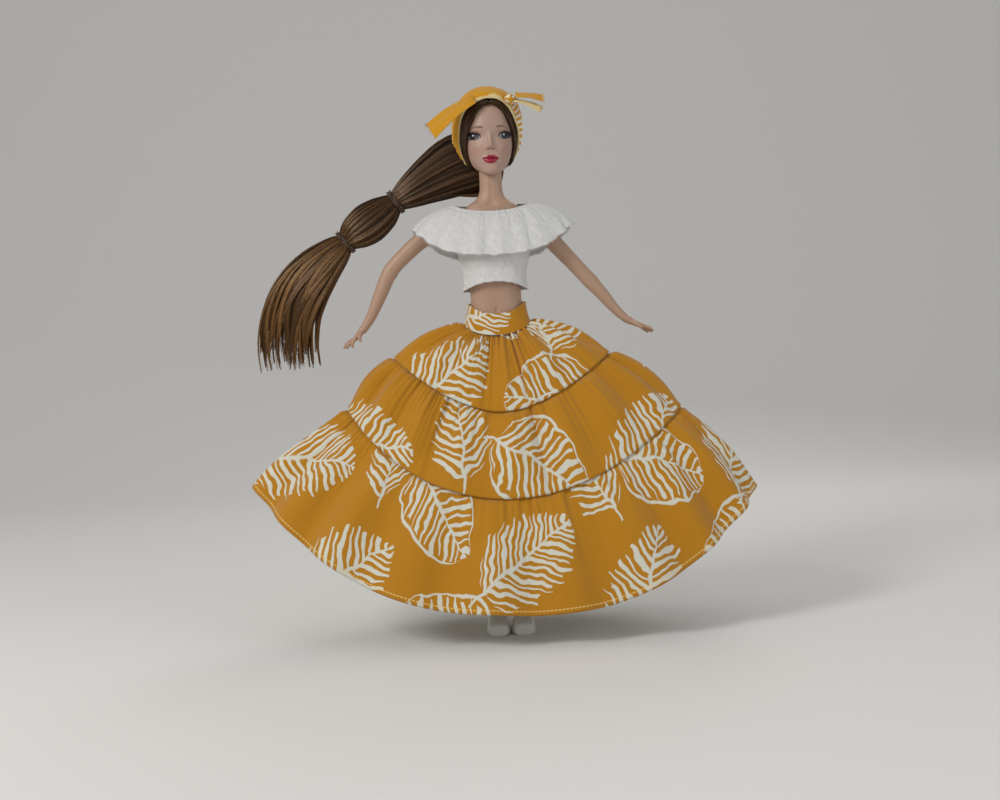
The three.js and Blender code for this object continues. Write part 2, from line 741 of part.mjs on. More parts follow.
// Share of hip height, middle from the body's middle, half width, front depth, back depth.
const legRows = [
  [instepShare, footSpacing, ankleHalfWidth * 1.1, ankleHalfWidth * 1.4, ankleHalfWidth * 1.3],
  [ankleShare, footSpacing, ankleHalfWidth, ankleHalfWidth, ankleHalfWidth],
  [0.2, footSpacing * 1.02, ankleHalfWidth * 1.14, ankleHalfWidth, calfHalfWidth * 0.7],
  [0.3, footSpacing * 1.05, calfHalfWidth * 0.83, ankleHalfWidth * 1.2, calfHalfWidth * 1.02],
  [0.4, footSpacing * 1.09, calfHalfWidth, ankleHalfWidth * 1.4, calfHalfWidth * 1.2],
  [0.49, footSpacing * 1.1, kneeHalfWidth * 0.97, kneeHalfWidth, kneeHalfWidth],
  [0.55, footSpacing * 1.12, kneeHalfWidth * 1.03, kneeHalfWidth * 1.16, kneeHalfWidth],
  [0.63, footSpacing * 1.22, thighHalfWidth * 0.77, legDepthAtThigh * 0.8, legDepthAtThigh * 0.73],
  [0.75, thighMiddle, thighHalfWidth * 0.92, legDepthAtThigh * 0.96, legDepthAtThigh * 0.96],
  [0.85, thighHalfWidth * 1.18, thighHalfWidth * 1.03, legDepthAtThigh * 1.02, legDepthAtThigh * 1.1],
  [0.93, thighHalfWidth * 1.4, thighHalfWidth * 0.92, legDepthAtThigh * 0.96, legDepthAtThigh * 1.1],
  [1, thighHalfWidth * 1.62, thighHalfWidth * 0.62, legDepthAtThigh * 0.85, legDepthAtThigh * 0.85],
];

// Share of shoe length from the heel, share of shoe half width, low and high edge as shares of shoe height.
const footShares = [
  [0.05, 0.42, 0.3, 0.78],
  [0.2, 0.58, 0.2, 0.84],
  [0.42, 0.7, 0.2, 0.82],
  [0.66, 0.76, 0.2, 0.6],
  [0.85, 0.68, 0.2, 0.44],
  [0.94, 0.5, 0.22, 0.36],
];
const shoeShares = [
  [0, 0.5, 0, 0.92],
  [0.03, 0.68, 0, 1],
  [0.2, 0.78, 0, 1.02],
  [0.42, 0.86, 0, 1.02],
  [0.66, 1, 0, 0.8],
  [0.86, 1, 0, 0.62],
  [0.97, 0.84, 0, 0.5],
  [1, 0.6, 0, 0.36],
];
// Half width and height round a foot or shoe section, anticlockwise from the low right corner.
const solidSectionShares = [[0.96, 0], [1, 0.16], [0.94, 0.5], [0.78, 0.82], [0.4, 1], [0, 1.03]];

function footLoft(shares, offset) {
  const heelY = shoeLength - toeReach;
  const last = shares.length - 1;
  return loft(
    shares.map(([along, width, low, high], i) => {
      const y = heelY - along * shoeLength + (i === 0 ? offset : i === last ? -offset : 0);
      const half = width * shoeHalfWidth + offset;
      const bottom = low * shoeHeight - offset;
      const top = high * shoeHeight + offset;
      const right = solidSectionShares.map(([w, h]) => point(footSpacing + w * half, y, mix(bottom, top, h)));
      const left = solidSectionShares
        .slice(0, -1)
        .reverse()
        .map(([w, h]) => point(footSpacing - w * half, y, mix(bottom, top, h)));
      return [...right, ...left];
    }),
  );
}

const legSides = 16;
const shankShares = [instepShare, ankleShare, 0.15, 0.2];
const legShares = [...shankShares, 0.3, 0.4, 0.49, 0.55, 0.63, 0.75, 0.85, 0.93, 1];

function legLoft(offset, shares) {
  return loft(
    shares.map((share) => {
      const [middle, halfWidth, front, back] = smoothRow(legRows, share);
      return Array.from({ length: legSides }, (_, k) => {
        const angle = (k / legSides) * 2 * Math.PI;
        const [x, y] = ovalPoint(angle, halfWidth + offset, front + offset, back + offset);
        return point(Math.max(middle + x, innerThighGap / 2), y, share * hipHeight);
      });
    }),
  );
}

function buildLegs() {
  const top = turnedOnX(legTopProfile(0), hipCentre, 24);
  const crotchRelief = turnedOnX(
    [
      [-legTopWidth, 0],
      [-legTopWidth, crotchRadius + cutOverrun],
      [pelvisHalfWidth + gap, crotchRadius + cutOverrun],
      [pelvisHalfWidth + gap, 0],
    ],
    hipCentre,
    20,
  );
  const socket = turnedOnX(
    [
      [0, 0],
      [0, hipAxleRadius + gap],
      [pelvisHalfWidth + gap + hipSocketDepth, hipAxleRadius + gap],
      [pelvisHalfWidth + gap + hipSocketDepth, 0],
    ],
    hipCentre,
  );
  const leg = cut(join(legLoft(0, legShares), top, footLoft(footShares, 0)), crotchRelief, socket);
  addPiece("left_leg", leg, materials.skin);
  addPiece("right_leg", mirrored(leg), materials.skin);

  const shoe = cut(footLoft(shoeShares, 0), footLoft(footShares, gap), legLoft(gap, shankShares));
  addPiece("left_shoe", shoe, materials.shoe);
  addPiece("right_shoe", mirrored(shoe), materials.shoe);
}
buildLegs();

// Hair: a cap over the scalp and a long tail drawn to the right, held by two elastic bands

function hairline(angle) {
  const forward = clampShare((-Math.sin(angle) - 0.1) / 0.9);
  return 0.16 + 0.72 * forward ** 1.6;
}

function buildHairCap() {
  const columns = 28;
  const rows = 9;
  const crown = point(0, 0, 1);
  const grid = (offset) =>
    Array.from({ length: columns }, (_, i) => {
      const angle = (i / columns) * 2 * Math.PI;
      const edge = headPoint(angle, hairline(angle), 0).sub(headCentre).normalize();
      const sweep = edge.angleTo(crown);
      const axis = edge.clone().cross(crown).normalize();
      return Array.from({ length: rows }, (_, j) => {
        if (j === rows - 1) return headReach(crown, offset);
        return headReach(edge.clone().applyAxisAngle(axis, (sweep * j) / (rows - 1)), offset);
      });
    });
  addPiece("hair_cap", slab(grid(layerGap + hairThickness), grid(layerGap), true), materials.hair, head);
}
buildHairCap();

// The tail's middle line: leftward and downward from its root, as shares of the tail's length, and its
// place behind the body, as a share of its stand-off; then half height and half depth, shares of the length.
const tailShares = [
  [-0.06, 0, 0.74, 0.08, 0.02],
  [0.02, 0, 0.93, 0.115, 0.05],
  [0.115, 0.017, 1, 0.118, 0.06],
  [0.203, 0.056, 0.97, 0.098, 0.056],
  [0.284, 0.1, 0.93, 0.07, 0.05],
  [0.356, 0.144, 0.91, 0.046, 0.038],
  [0.405, 0.181, 0.89, 0.066, 0.05],
  [0.459, 0.218, 0.88, 0.078, 0.056],
  [0.51, 0.252, 0.87, 0.067, 0.052],
  [0.55, 0.285, 0.85, 0.046, 0.038],
  [0.595, 0.323, 0.82, 0.064, 0.046],
  [0.662, 0.384, 0.78, 0.09, 0.05],
  [0.722, 0.458, 0.74, 0.108, 0.048],
  [0.766, 0.553, 0.7, 0.117, 0.042],
  [0.78, 0.655, 0.66, 0.121, 0.036],
  [0.773, 0.755, 0.61, 0.118, 0.028],
];
const tieRows = [5, 9];

function tailRing(index, offset, shift = 0, count = 14) {
  const root = headBase + tailRootShare * headHeight;
  const centre = ([left, drop, behind]) =>
    point(-left * tailLength, behind * tailStandOff, root - drop * tailLength);
  const before = centre(tailShares[Math.max(index - 1, 0)]);
  const after = centre(tailShares[Math.min(index + 1, tailShares.length - 1)]);
  const along = after.sub(before).setY(0).normalize();
  const across = point(-along.z, 0, along.x);
  const [, , , halfHeight, halfDepth] = tailShares[index];
  const middle = centre(tailShares[index]).addScaledVector(along, shift);
  return Array.from({ length: count }, (_, k) => {
    const angle = (k / count) * 2 * Math.PI;
    const [u, v] = ovalPoint(
      angle,
      halfHeight * tailLength + offset,
      halfDepth * tailLength + offset,
      halfDepth * tailLength + offset,
      2.1,
    );
    return middle.clone().addScaledVector(across, u).add(point(0, v, 0));
  });
}

const scarfOffset = layerGap + hairThickness + layerGap;

function buildTail() {
  const rings = [];
  tailShares.forEach((_, i) => {
    if (tieRows.includes(i)) rings.push(tailRing(i, 0, -tieWidth), tailRing(i, 0, tieWidth));
    else rings.push(tailRing(i, 0));
  });
  const headSpace = headLoft(3 * layerGap + hairThickness + scarfThickness, 28).rotateZ(headYaw);
  const neckSpace = turnedOnZ(
    [
      [0, shoulderHeight],
      [neckRadius + runningGap * 2, shoulderHeight],
      [neckRadius + runningGap * 2, neckTop + cutOverrun],
      [0, neckTop + cutOverrun],
    ],
    20,
  );
  const bandSpace = scarfRing(layerGap, 1 + layerGap / scarfNapeHalfWidth).rotateZ(headYaw);
  addPiece("hair_tail", cut(loft(rings), headSpace, bandSpace, neckSpace), materials.hair);
  ["hair_tie_upper", "hair_tie_lower"].forEach((name, k) => {
    const row = tieRows[k];
    const shell = (offset) =>
      tailRing(row, offset, -tieWidth / 2).map((p, i) => [p, tailRing(row, offset, tieWidth / 2)[i]]);
    addPiece(name, slab(shell(gap + tieThickness), shell(gap), true), materials.elastic);
  });
}
buildTail();

// Headscarf: a ring of cloth over the crown and round the nape, a knot and three free ends

function scarfPoint(turn, across, offset) {
  const lean = mix(scarfTopLean, scarfNapeLean, (1 - Math.cos(turn)) / 2);
  const middle = point(Math.sin(turn), lean, Math.cos(turn)).normalize();
  const halfWidth = mix(scarfHalfWidth, scarfNapeHalfWidth, ease((1 - Math.cos(turn)) / 2));
  const sideways = point(0, 1, 0).addScaledVector(middle, -middle.y).normalize();
  const direction = middle
    .multiplyScalar(headHeight / 2)
    .addScaledVector(sideways, across * halfWidth)
    .normalize();
  const flare = scarfSideFlare * Math.sin(turn) ** 2 * clampShare((across + 1) / 2);
  return headReach(direction, offset + flare);
}

// The band, or the room that it takes: grown on both faces and widened by a share.
function scarfRing(growth, widening) {
  const columns = 28;
  const rows = 4;
  const grid = (offset) =>
    Array.from({ length: columns }, (_, i) => {
      const turn = (i / columns) * 2 * Math.PI;
      return Array.from({ length: rows }, (_, j) => {
        const across = ((2 * j) / (rows - 1) - 1) * widening;
        const crown = scarfCrownPuff * Math.max(0, 1 - across ** 2) * ease(Math.cos(turn));
        return scarfPoint(turn, across, scarfOffset + offset + crown);
      });
    });
  return slab(grid(scarfThickness + growth), grid(-growth), true);
}

function buildScarf() {
  addPiece("headscarf_band", scarfRing(0, 1), materials.mustard, head);

  // The knot sits over the front edge of the band, to the left of the crown.
  const knotTurn = 31 * degree;
  const frontEdge = -1.1;
  const knotReach = scarfThickness + gap + knotRadius;
  const knotCentre = scarfPoint(knotTurn, frontEdge, scarfOffset + knotReach);
  const knot = new THREE.IcosahedronGeometry(knotRadius, 2);
  knot.scale(1.1, 1.15, 0.9);
  knot.translate(knotCentre.x, knotCentre.y, knotCentre.z);
  addPiece("scarf_knot", bare(knot), materials.mustard, head);

  // Rows of an end: share of its length, share of its half width, drop as a share of its length.
  const endShares = [
    [0, 0.55, 0],
    [0.25, 0.74, -0.01],
    [0.5, 0.87, 0.02],
    [0.75, 0.95, 0.08],
    [1, 1, 0.16],
  ];
  const freeEnd = (name, start, direction, widthWay, length, halfWidth, fold) => {
    const along = direction.clone().normalize();
    const across = widthWay.clone().addScaledVector(along, -along.dot(widthWay)).normalize();
    const up = along.clone().cross(across).normalize();
    if (up.z < 0) up.negate();
    const grid = (offset) =>
      endShares.map(([share, width, drop]) =>
        [-1, -0.5, 0, 0.5, 1].map((q) =>
          start
            .clone()
            .addScaledVector(along, share * length)
            .addScaledVector(across, q * width * halfWidth)
            .addScaledVector(up, -drop * length + fold * (1 - q * q) * width + offset),
        ),
      );
    addPiece(name, slab(grid(scarfThickness), grid(0), false), materials.mustard, head);
  };
  const beside = knotRadius * 1.1 + gap;
  const upperStart = knotCentre.clone().add(point(beside + gap, 0, knotRadius * 0.3));
  const endSize = [scarfEndLength, scarfEndHalfWidth, scarfEndFold];
  freeEnd("scarf_end_upper", upperStart, point(1, -0.1, 0.02), point(0, 1, 0.5), ...endSize);
  const lowerStart = knotCentre.clone().add(point(beside * 0.86, 0, -knotRadius * 0.55));
  freeEnd("scarf_end_lower", lowerStart, point(1, -0.15, -0.18), point(0, 1, 0.4), ...endSize);
  const leftReach = scarfOffset + scarfThickness + 2 * layerGap;
  const leftStart = scarfPoint(-24 * degree, frontEdge, leftReach);
  const flapSize = [scarfFlapLength, scarfFlapHalfWidth, scarfFlapFold];
  freeEnd("scarf_end_left", leftStart, point(-1, 0.06, -0.46), point(0.1, 0.7, 0.7), ...flapSize);
}
buildScarf();

// Top: a tube over the bust, a wide gathered collar round the shoulders and its neckline elastic

function bodiceSection(z) {
  const share = clampShare((z - bodiceBottom) / (bodiceTop - bodiceBottom));
  const [torsoWidth, torsoFront, torsoBack] = torsoAt(z);
  const hang = 1 - ease(share * 1.8);
  const width = Math.max(torsoWidth + layerGap, mix(torsoWidth, bodiceBottomHalfWidth, hang));
  const front = Math.max(torsoFront + layerGap, mix(torsoFront, bustDepth * 0.94, hang));
  const back = Math.max(torsoBack + layerGap, mix(torsoBack, backDepth * 1.12, hang));
  return [width, front, back];
}

function buildBodice() {
  const columns = 28;
  const rows = 8;
  const grid = (offset) =>
    Array.from({ length: columns }, (_, i) => {
      const angle = (i / columns) * 2 * Math.PI;
      const arch = bodiceArch * Math.max(0, -Math.sin(angle)) ** 2;
      const low = bodiceBottom + arch;
      return Array.from({ length: rows }, (_, j) => {
        const z = mix(low, bodiceTop, j / (rows - 1));
        const [width, front, back] = bodiceSection(z);
        const [x, y] = ovalPoint(angle, width + offset, front + offset, back + offset, torsoRoundness);
        return point(x, y, z);
      });
    });
  const armhole = turnedOnX(
    [
      [shoulderHalfWidth * 0.6, 0],
      [shoulderHalfWidth * 0.6, armTopRadius + armholeEase],
      [shoulderReach + cutOverrun, armTopRadius + armholeEase],
      [shoulderReach + cutOverrun, 0],
    ],
    point(0, 0, shoulderHeight + armholeEase / 2),
  );
  const tube = slab(grid(clothThickness), grid(0), true);
  addPiece("bodice", cut(tube, armhole, mirrored(armhole)), materials.white);
}
buildBodice();

// The collar hangs from the neckline loop to its own hem loop; share 0 is the neckline, 1 the hem.
function collarPoint(angle, share, offset) {
  const side = Math.abs(Math.cos(angle));
  const front = Math.max(0, -Math.sin(angle));
  const neckZ = ruffleTop - necklineDip * front ** 2;
  const fullDrop = front > 0 ? ruffleDrop : ruffleDrop + ruffleBackDrop;
  const hemZ = neckZ - mix(fullDrop, ruffleSideDrop, side ** 3);
  const [neckX, neckY] = ovalPoint(angle, necklineHalfWidth, necklineDepth, necklineDepth, 2.4);
  const [hemX, hemY] = ovalPoint(angle, ruffleHalfWidth, ruffleFrontDepth, ruffleBackDepth, 2.1);
  const outShare = share + ruffleBulge * Math.sin(Math.PI * share);
  const downShare = share ** 1.35;
  const wave = ruffleFoldDepth * Math.sin(ruffleFolds * angle) * share;
  const outward = point(hemX - neckX, hemY - neckY, 0).normalize();
  const lift = point(outward.x, outward.y, 0.75).normalize();
  return point(mix(neckX, hemX, outShare), mix(neckY, hemY, outShare), mix(neckZ, hemZ, downShare))
    .addScaledVector(outward, wave)
    .addScaledVector(lift, offset);
}

function buildCollar() {
  const columns = 3 * ruffleFolds;
  const rows = 4;
  const grid = (offset) =>
    Array.from({ length: columns }, (_, i) => {
      const angle = (i / columns) * 2 * Math.PI;
      return Array.from({ length: rows }, (_, j) => collarPoint(angle, j / (rows - 1), offset));
    });
  const whole = slab(grid(clothThickness), grid(0), true);
  const cutX = necklineHalfWidth + clothThickness + 2 * gap;
  const tall = neckTop + cutOverrun;
  const wide = ruffleHalfWidth * 2;
  const middle = box(point(-cutX, -wide, 0), point(cutX, wide, tall));
  const side = box(point(cutX + gap, -wide, 0), point(wide, wide, tall));
  addPiece("ruffle_collar", common(whole, middle), materials.white);
  addPiece("left_ruffle_cap", common(whole, side), materials.white);
  addPiece("right_ruffle_cap", common(whole, mirrored(bare(side))), materials.white);

  const elastic = (offset) =>
    Array.from({ length: columns / 2 }, (_, i) => {
      const angle = (i / (columns / 2)) * 2 * Math.PI;
      return [0.03, 0.07].map((share) => collarPoint(angle, share, 0).add(inwardStep(angle, offset)));
    });
  const inner = elastic(2 * layerGap + elasticThickness);
  addPiece("neckline_elastic", slab(elastic(2 * layerGap), inner, true), materials.white);
}

function inwardStep(angle, distance) {
  return point(-Math.cos(angle) * distance, -Math.sin(angle) * distance, 0);
}
buildCollar();

// Skirt: a fitted waistband and three gathered tiers on a flattened cone that is widest at its sides

function waistbandEdge(angle) {
  const front = Math.max(0, -Math.sin(angle));
  return waistbandTop - waistbandDip * front ** 2;
}

function buildWaistband() {
  const columns = 36;
  const grid = (offset) =>
    Array.from({ length: columns }, (_, i) => {
      const angle = (i / columns) * 2 * Math.PI;
      const top = waistbandEdge(angle);
      return [0, 0.5, 1].map((share) =>
        torsoPoint(angle, top - share * waistbandHeight, layerGap + offset),
      );
    });
  addPiece("skirt_waistband", slab(grid(clothThickness), grid(0), true), materials.mustard);
}
buildWaistband();

// The skirt's surface at an angle round it and a share of the way down it.
function skirtPoint(angle, share) {
  const side = Math.abs(Math.cos(angle));
  const top = waistbandEdge(angle) - waistbandHeight;
  const waist = torsoPoint(angle, top, layerGap);
  const [hemX, hemY] = ovalPoint(angle, hemHalfWidth, hemHalfDepth, hemHalfDepth, 2);
  const hemZ = mix(hemFrontHeight, hemSideHeight, side ** 2.6) - hemLean * Math.cos(angle);
  const sideways = side ** 1.5;
  const sag = tierSagShare * Math.max(0, -Math.cos(angle)) ** 1.5 * Math.sin(Math.PI * share ** 1.6) ** 2;
  const out = share + tierBulgeShare * sideways * Math.sin(Math.PI * share) - sag;
  const down = share ** mix(1.05, 1.35, sideways);
  return point(mix(waist.x, hemX, out), mix(waist.y, hemY, out), mix(top, hemZ, down));
}

function skirtNormal(angle, share) {
  const step = 0.01;
  const along = skirtPoint(angle + step, share).sub(skirtPoint(angle - step, share));
  const down = skirtPoint(angle, Math.min(1, share + step)).sub(skirtPoint(angle, Math.max(0, share - step)));
  return down.cross(along).normalize();
}

// Gathers fill out between one seam and the next, and stay shallow at the seams themselves.
function tierFold(tier, angle, share) {
  const fill = tier === 2 ? ease(share * 1.4) : Math.sin(Math.PI * Math.min(share * 1.1, 1)) ** 0.8;
  const seam = 0.25;
  const ripple = Math.cos(tierFolds[tier] * angle) + 0.35 * Math.cos(tierFolds[tier] * 0.5 * angle + tier);
  return tierFoldDepth[tier] * ripple * mix(seam, 1, fill);
}

function buildTiers() {
  const edges = [0, upperTierShare, middleTierShare, 1];
  const names = ["skirt_upper_tier", "skirt_middle_tier", "skirt_lower_tier"];
  names.forEach((name, tier) => {
    const columns = 4 * tierFolds[tier];
    const rows = 5;
    const start = edges[tier] + (tier === 0 ? waistSeamShare : tierSeamShare);
    const end = edges[tier + 1];
    const grid = (offset) =>
      Array.from({ length: columns }, (_, i) => {
        const angle = ((i + 0.5) / columns) * 2 * Math.PI;
        return Array.from({ length: rows }, (_, j) => {
          const down = j / (rows - 1);
          const share = mix(start, end, down);
          const proud = tierFold(tier, angle, down) + tierPuff * Math.sin(Math.PI * down);
          return skirtPoint(angle, share).addScaledVector(skirtNormal(angle, share), proud + offset);
        });
      });
    addPiece(name, slab(grid(clothThickness), grid(0), true), materials.mustard);
  });
}
buildTiers();

// Closures: a strip of hook tape down the back of each garment

function buildClosure(name, low, high, sectionAt) {
  const grid = (offset) =>
    [-1, -0.33, 0.33, 1].map((q) =>
      [0, 0.5, 1].map((share) => {
        const z = mix(low, high, share);
        const angle = Math.PI / 2 - (q * closureHalfWidth) / backDepth;
        const [width, front, back] = sectionAt(z);
        const [x, y] = ovalPoint(angle, width + offset, front + offset, back + offset, torsoRoundness);
        return point(x, y, z);
      }),
    );
  const outside = clothThickness + layerGap;
  addPiece(name, slab(grid(outside + closureThickness), grid(outside), false), materials.tape);
}
buildClosure(
  "top_closure",
  bodiceBottom + closureMargin,
  ruffleTop - ruffleDrop - ruffleBackDrop - closureMargin,
  bodiceSection,
);
buildClosure(
  "skirt_closure",
  waistbandTop - waistbandHeight + closureMargin,
  waistbandTop - closureMargin,
  (z) => torsoAt(z).map((size) => size + layerGap),
);

export default doll;
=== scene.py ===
import math

import bmesh
import bpy
import numpy as np
from mathutils import Matrix, Vector


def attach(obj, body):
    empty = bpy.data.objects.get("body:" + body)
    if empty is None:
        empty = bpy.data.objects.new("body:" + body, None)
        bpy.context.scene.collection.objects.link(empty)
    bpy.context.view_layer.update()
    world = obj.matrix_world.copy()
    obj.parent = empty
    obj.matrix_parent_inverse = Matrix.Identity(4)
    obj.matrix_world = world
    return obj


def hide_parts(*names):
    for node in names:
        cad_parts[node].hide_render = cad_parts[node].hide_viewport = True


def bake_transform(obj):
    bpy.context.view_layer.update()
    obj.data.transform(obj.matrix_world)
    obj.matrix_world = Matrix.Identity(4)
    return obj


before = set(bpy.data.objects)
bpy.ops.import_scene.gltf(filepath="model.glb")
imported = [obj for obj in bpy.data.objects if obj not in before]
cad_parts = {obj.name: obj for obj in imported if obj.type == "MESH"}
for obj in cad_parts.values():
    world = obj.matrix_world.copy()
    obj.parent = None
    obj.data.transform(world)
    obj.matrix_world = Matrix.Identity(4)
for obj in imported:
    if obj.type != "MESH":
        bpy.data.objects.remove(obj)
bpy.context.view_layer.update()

MM = 0.001
TAU = 2 * math.pi
scene = bpy.context.scene


# Shared maths


def mix(a, b, share):
    return a + (b - a) * share


def ease(value):
    t = np.clip(value, 0, 1)
    return t * t * (3 - 2 * t)


def bump_curve(value, centre, width):
    """A smooth hill, 1 at its centre."""
    return np.exp(-(((value - centre) / width) ** 2))


def smooth_rows(rows, at):
    """Smooth interpolation through rows whose first entry is the place along the piece; at is an array."""
    rows = np.array(rows, float)
    at = np.clip(np.asarray(at, float), rows[0, 0], rows[-1, 0])
    i = np.clip(np.searchsorted(rows[:, 0], at, side="right") - 1, 0, len(rows) - 2)
    before, after = np.maximum(i - 1, 0), np.minimum(i + 2, len(rows) - 1)
    span = rows[i + 1, 0] - rows[i, 0]
    t = ((at - rows[i, 0]) / span)[..., None]
    p1, p2 = rows[i, 1:], rows[i + 1, 1:]
    span = span[..., None]
    m1 = (p2 - rows[before, 1:]) / (rows[i + 1, 0] - rows[before, 0])[..., None] * span
    m2 = (rows[after, 1:] - p1) / (rows[after, 0] - rows[i, 0])[..., None] * span
    blend = (2 * t**3 - 3 * t**2 + 1) * p1 + (t**3 - 2 * t**2 + t) * m1
    return blend + (3 * t**2 - 2 * t**3) * p2 + (t**3 - t**2) * m2


def oval(angle, half_width, front, back, roundness=2.2):
    """Points on an oval whose front (-Y) and back (+Y) have their own depths."""
    c, s = np.cos(angle), np.sin(angle)
    power = 2 / roundness
    depth = np.where(s < 0, front, back)
    x = half_width * np.sign(c) * np.abs(c) ** power
    y = depth * np.sign(s) * np.abs(s) ** power
    return x, y


def unit(vectors):
    return vectors / np.maximum(np.linalg.norm(vectors, axis=-1, keepdims=True), 1e-12)


def wave_noise(u, v, scale, octaves=3, seed=0):
    """Smooth pseudo-random waves in two directions, about -1 to 1, the same each run."""
    local = np.random.default_rng(seed)
    total, size = np.zeros(np.broadcast(u, v).shape), 0.0
    for octave in range(octaves):
        for _ in range(5):
            turn, phase = local.uniform(0, TAU), local.uniform(0, TAU)
            k = scale * 2**octave * local.uniform(0.7, 1.4)
            total = total + np.sin(k * (u * math.cos(turn) + v * math.sin(turn)) + phase) / 2**octave
        size += 5 / 2**octave
    return total / size * 2.2


def hill(x, z, middle_x, wide, middle_z, tall):
    """A smooth rounded hill over a face or a side of the head."""
    return np.exp(-(((x - middle_x) / wide) ** 2) - ((z - middle_z) / tall) ** 2)


def turn_grid(columns, rows, start=0.0):
    """Angles round and shares along, as two arrays of one shape."""
    angle = ((np.arange(columns) + start) / columns * TAU)[:, None]
    return np.broadcast_arrays(angle, np.linspace(0, 1, rows)[None, :])


# Meshes from grids of points, in millimetres


def in_scene(name, data):
    piece = bpy.data.objects.new(name, data)
    scene.collection.objects.link(piece)
    return piece


def new_piece(name, vertices, faces, smooth=True):
    mesh = bpy.data.meshes.new(name)
    mesh.from_pydata((vertices * MM).tolist(), [], faces)
    mesh.polygons.foreach_set("use_smooth", np.zeros(len(faces), bool) | smooth)
    mesh.update()
    return in_scene(name, mesh)


def from_bmesh(name, work, mesh=None):
    """Puts a finished bmesh into a piece's mesh, or into a new one."""
    mesh = mesh or bpy.data.meshes.new(name)
    work.to_mesh(mesh)
    work.free()
    return mesh


def quads_between(index, wrap):
    """Faces between neighbouring columns and rows of a grid of vertex numbers."""
    first = index if wrap else index[:-1]
    after = np.roll(index, -1, 0) if wrap else index[1:]
    return np.stack([first[:, :-1], after[:, :-1], after[:, 1:], first[:, 1:]], -1).reshape(-1, 4)


def quad_corners(uv):
    return np.stack([uv[:-1, :-1], uv[1:, :-1], uv[1:, 1:], uv[:-1, 1:]], -2).reshape(-1, 4, 2)


def lay_uv(mesh, corners, others=0.0):
    """Coordinates for the corners of the first faces, and then for all the others."""
    full = np.zeros((len(mesh.loops), 2))
    full[: len(corners)], full[len(corners):] = corners, others
    mesh.uv_layers.new(name="UVMap").data.foreach_set("uv", full.ravel())


def grid_mesh(name, points, wrap=False, uv=None, cap_ends=False):
    """A mesh from points[column][row]; wrap joins the last column to the first."""
    points = np.asarray(points, float)
    index = np.arange(points.shape[0] * points.shape[1]).reshape(points.shape[:2])
    faces = quads_between(index, wrap).tolist()
    if cap_ends:
        faces += [index[:, 0][::-1].tolist(), index[:, -1].tolist()]
    piece = new_piece(name, points.reshape(-1, 3), faces)
    if uv is not None:
        lay_uv(piece.data, quad_corners(uv).reshape(-1, 2))
    piece.data.validate()
    return piece


def shell(name, outer, normals, thick, wrap=False, uv=None):
    """Cloth of one thickness: an outer and an inner face with square edges; the inner faces take material 1."""
    columns, rows = outer.shape[:2]
    low = columns * rows
    index = np.arange(low).reshape(columns, rows)
    quads = quads_between(index, wrap)
    edges = []
    for row, turn in ((0, 1), (rows - 1, -1)):
        near, far = index[:, row], np.roll(index[:, row], -1)
        edges.append((near if wrap else near[:-1], far if wrap else far[:-1], turn))
    if not wrap:
        edges += [(index[column, :-1], index[column, 1:], turn) for column, turn in ((0, -1), (columns - 1, 1))]
    rims = [np.stack([near, near + low, far + low, far], -1)[:, ::turn] for near, far, turn in edges]
    faces = np.concatenate([quads, quads[:, ::-1] + low] + rims)
    number = np.arange(len(faces))
    vertices = np.concatenate([outer.reshape(-1, 3), (outer - normals * thick).reshape(-1, 3)])
    piece = new_piece(name, vertices, faces.tolist(), number < 2 * len(quads))
    inside = (number >= len(quads)) & (number < 2 * len(quads))
    piece.data.polygons.foreach_set("material_index", inside.astype(np.int32))
    if uv is not None:
        corner = quad_corners(uv)
        flat = np.concatenate([corner.reshape(-1, 2), corner[:, ::-1].reshape(-1, 2)])
        loops = np.zeros(len(piece.data.loops), np.int32)
        piece.data.loops.foreach_get("vertex_index", loops)
        lay_uv(piece.data, flat, uv[:columns].reshape(-1, 2)[loops[len(flat):] % low])
    return piece


def grid_normals(grid, wrap, away):
    """Unit normals of a grid, pointing the way that away (a direction for each point) does."""
    along = np.roll(grid, -1, 0) - np.roll(grid, 1, 0) if wrap else np.gradient(grid, axis=0)
    normal = unit(np.cross(along, np.gradient(grid, axis=1)))
    sign = np.sign((normal * away).sum(-1))
    return normal * np.where(sign == 0, 1, sign)[..., None]


def run_along(points):
    """Distance travelled at each of a line of points."""
    return np.concatenate([[0], np.cumsum(np.linalg.norm(np.diff(points, axis=0), axis=1))])


def run_uv(grid, wrap):
    """Flat-pattern coordinates in metres: along the last row, and up from it."""
    run = run_along(grid[:, -1]) * MM
    fall = np.linalg.norm(np.diff(grid, axis=1), axis=2).mean(0)
    rise = np.concatenate([[0], np.cumsum(fall[::-1])])[::-1] * MM
    if wrap:
        run = np.append(run, run[-1] + run[1])
    uv = np.stack(np.broadcast_arrays(run[:, None], rise[None, :]), -1)
    return uv, run[-1], rise[0]


def closed_uv(uv, length):
    """Adds the first column again, one whole length further on."""
    return np.concatenate([uv, uv[:1] + [[length, 0]]])


def solidify(piece, thickness):
    modifier = piece.modifiers.new("cloth", "SOLIDIFY")
    modifier.thickness = thickness * MM
    modifier.offset = -1
    modifier.use_rim = True
    return modifier


def faces_outward(piece):
    """Turns the faces of a closed mesh to point out."""
    work = bmesh.new()
    work.from_mesh(piece.data)
    bmesh.ops.recalc_face_normals(work, faces=work.faces)
    from_bmesh(piece.name, work, piece.data)
    return piece


def fill_holes(work):
    bmesh.ops.holes_fill(work, edges=[edge for edge in work.edges if edge.is_boundary], sides=0)


def split_wide_faces(work):
    bmesh.ops.triangulate(work, faces=[face for face in work.faces if len(face.verts) > 4])


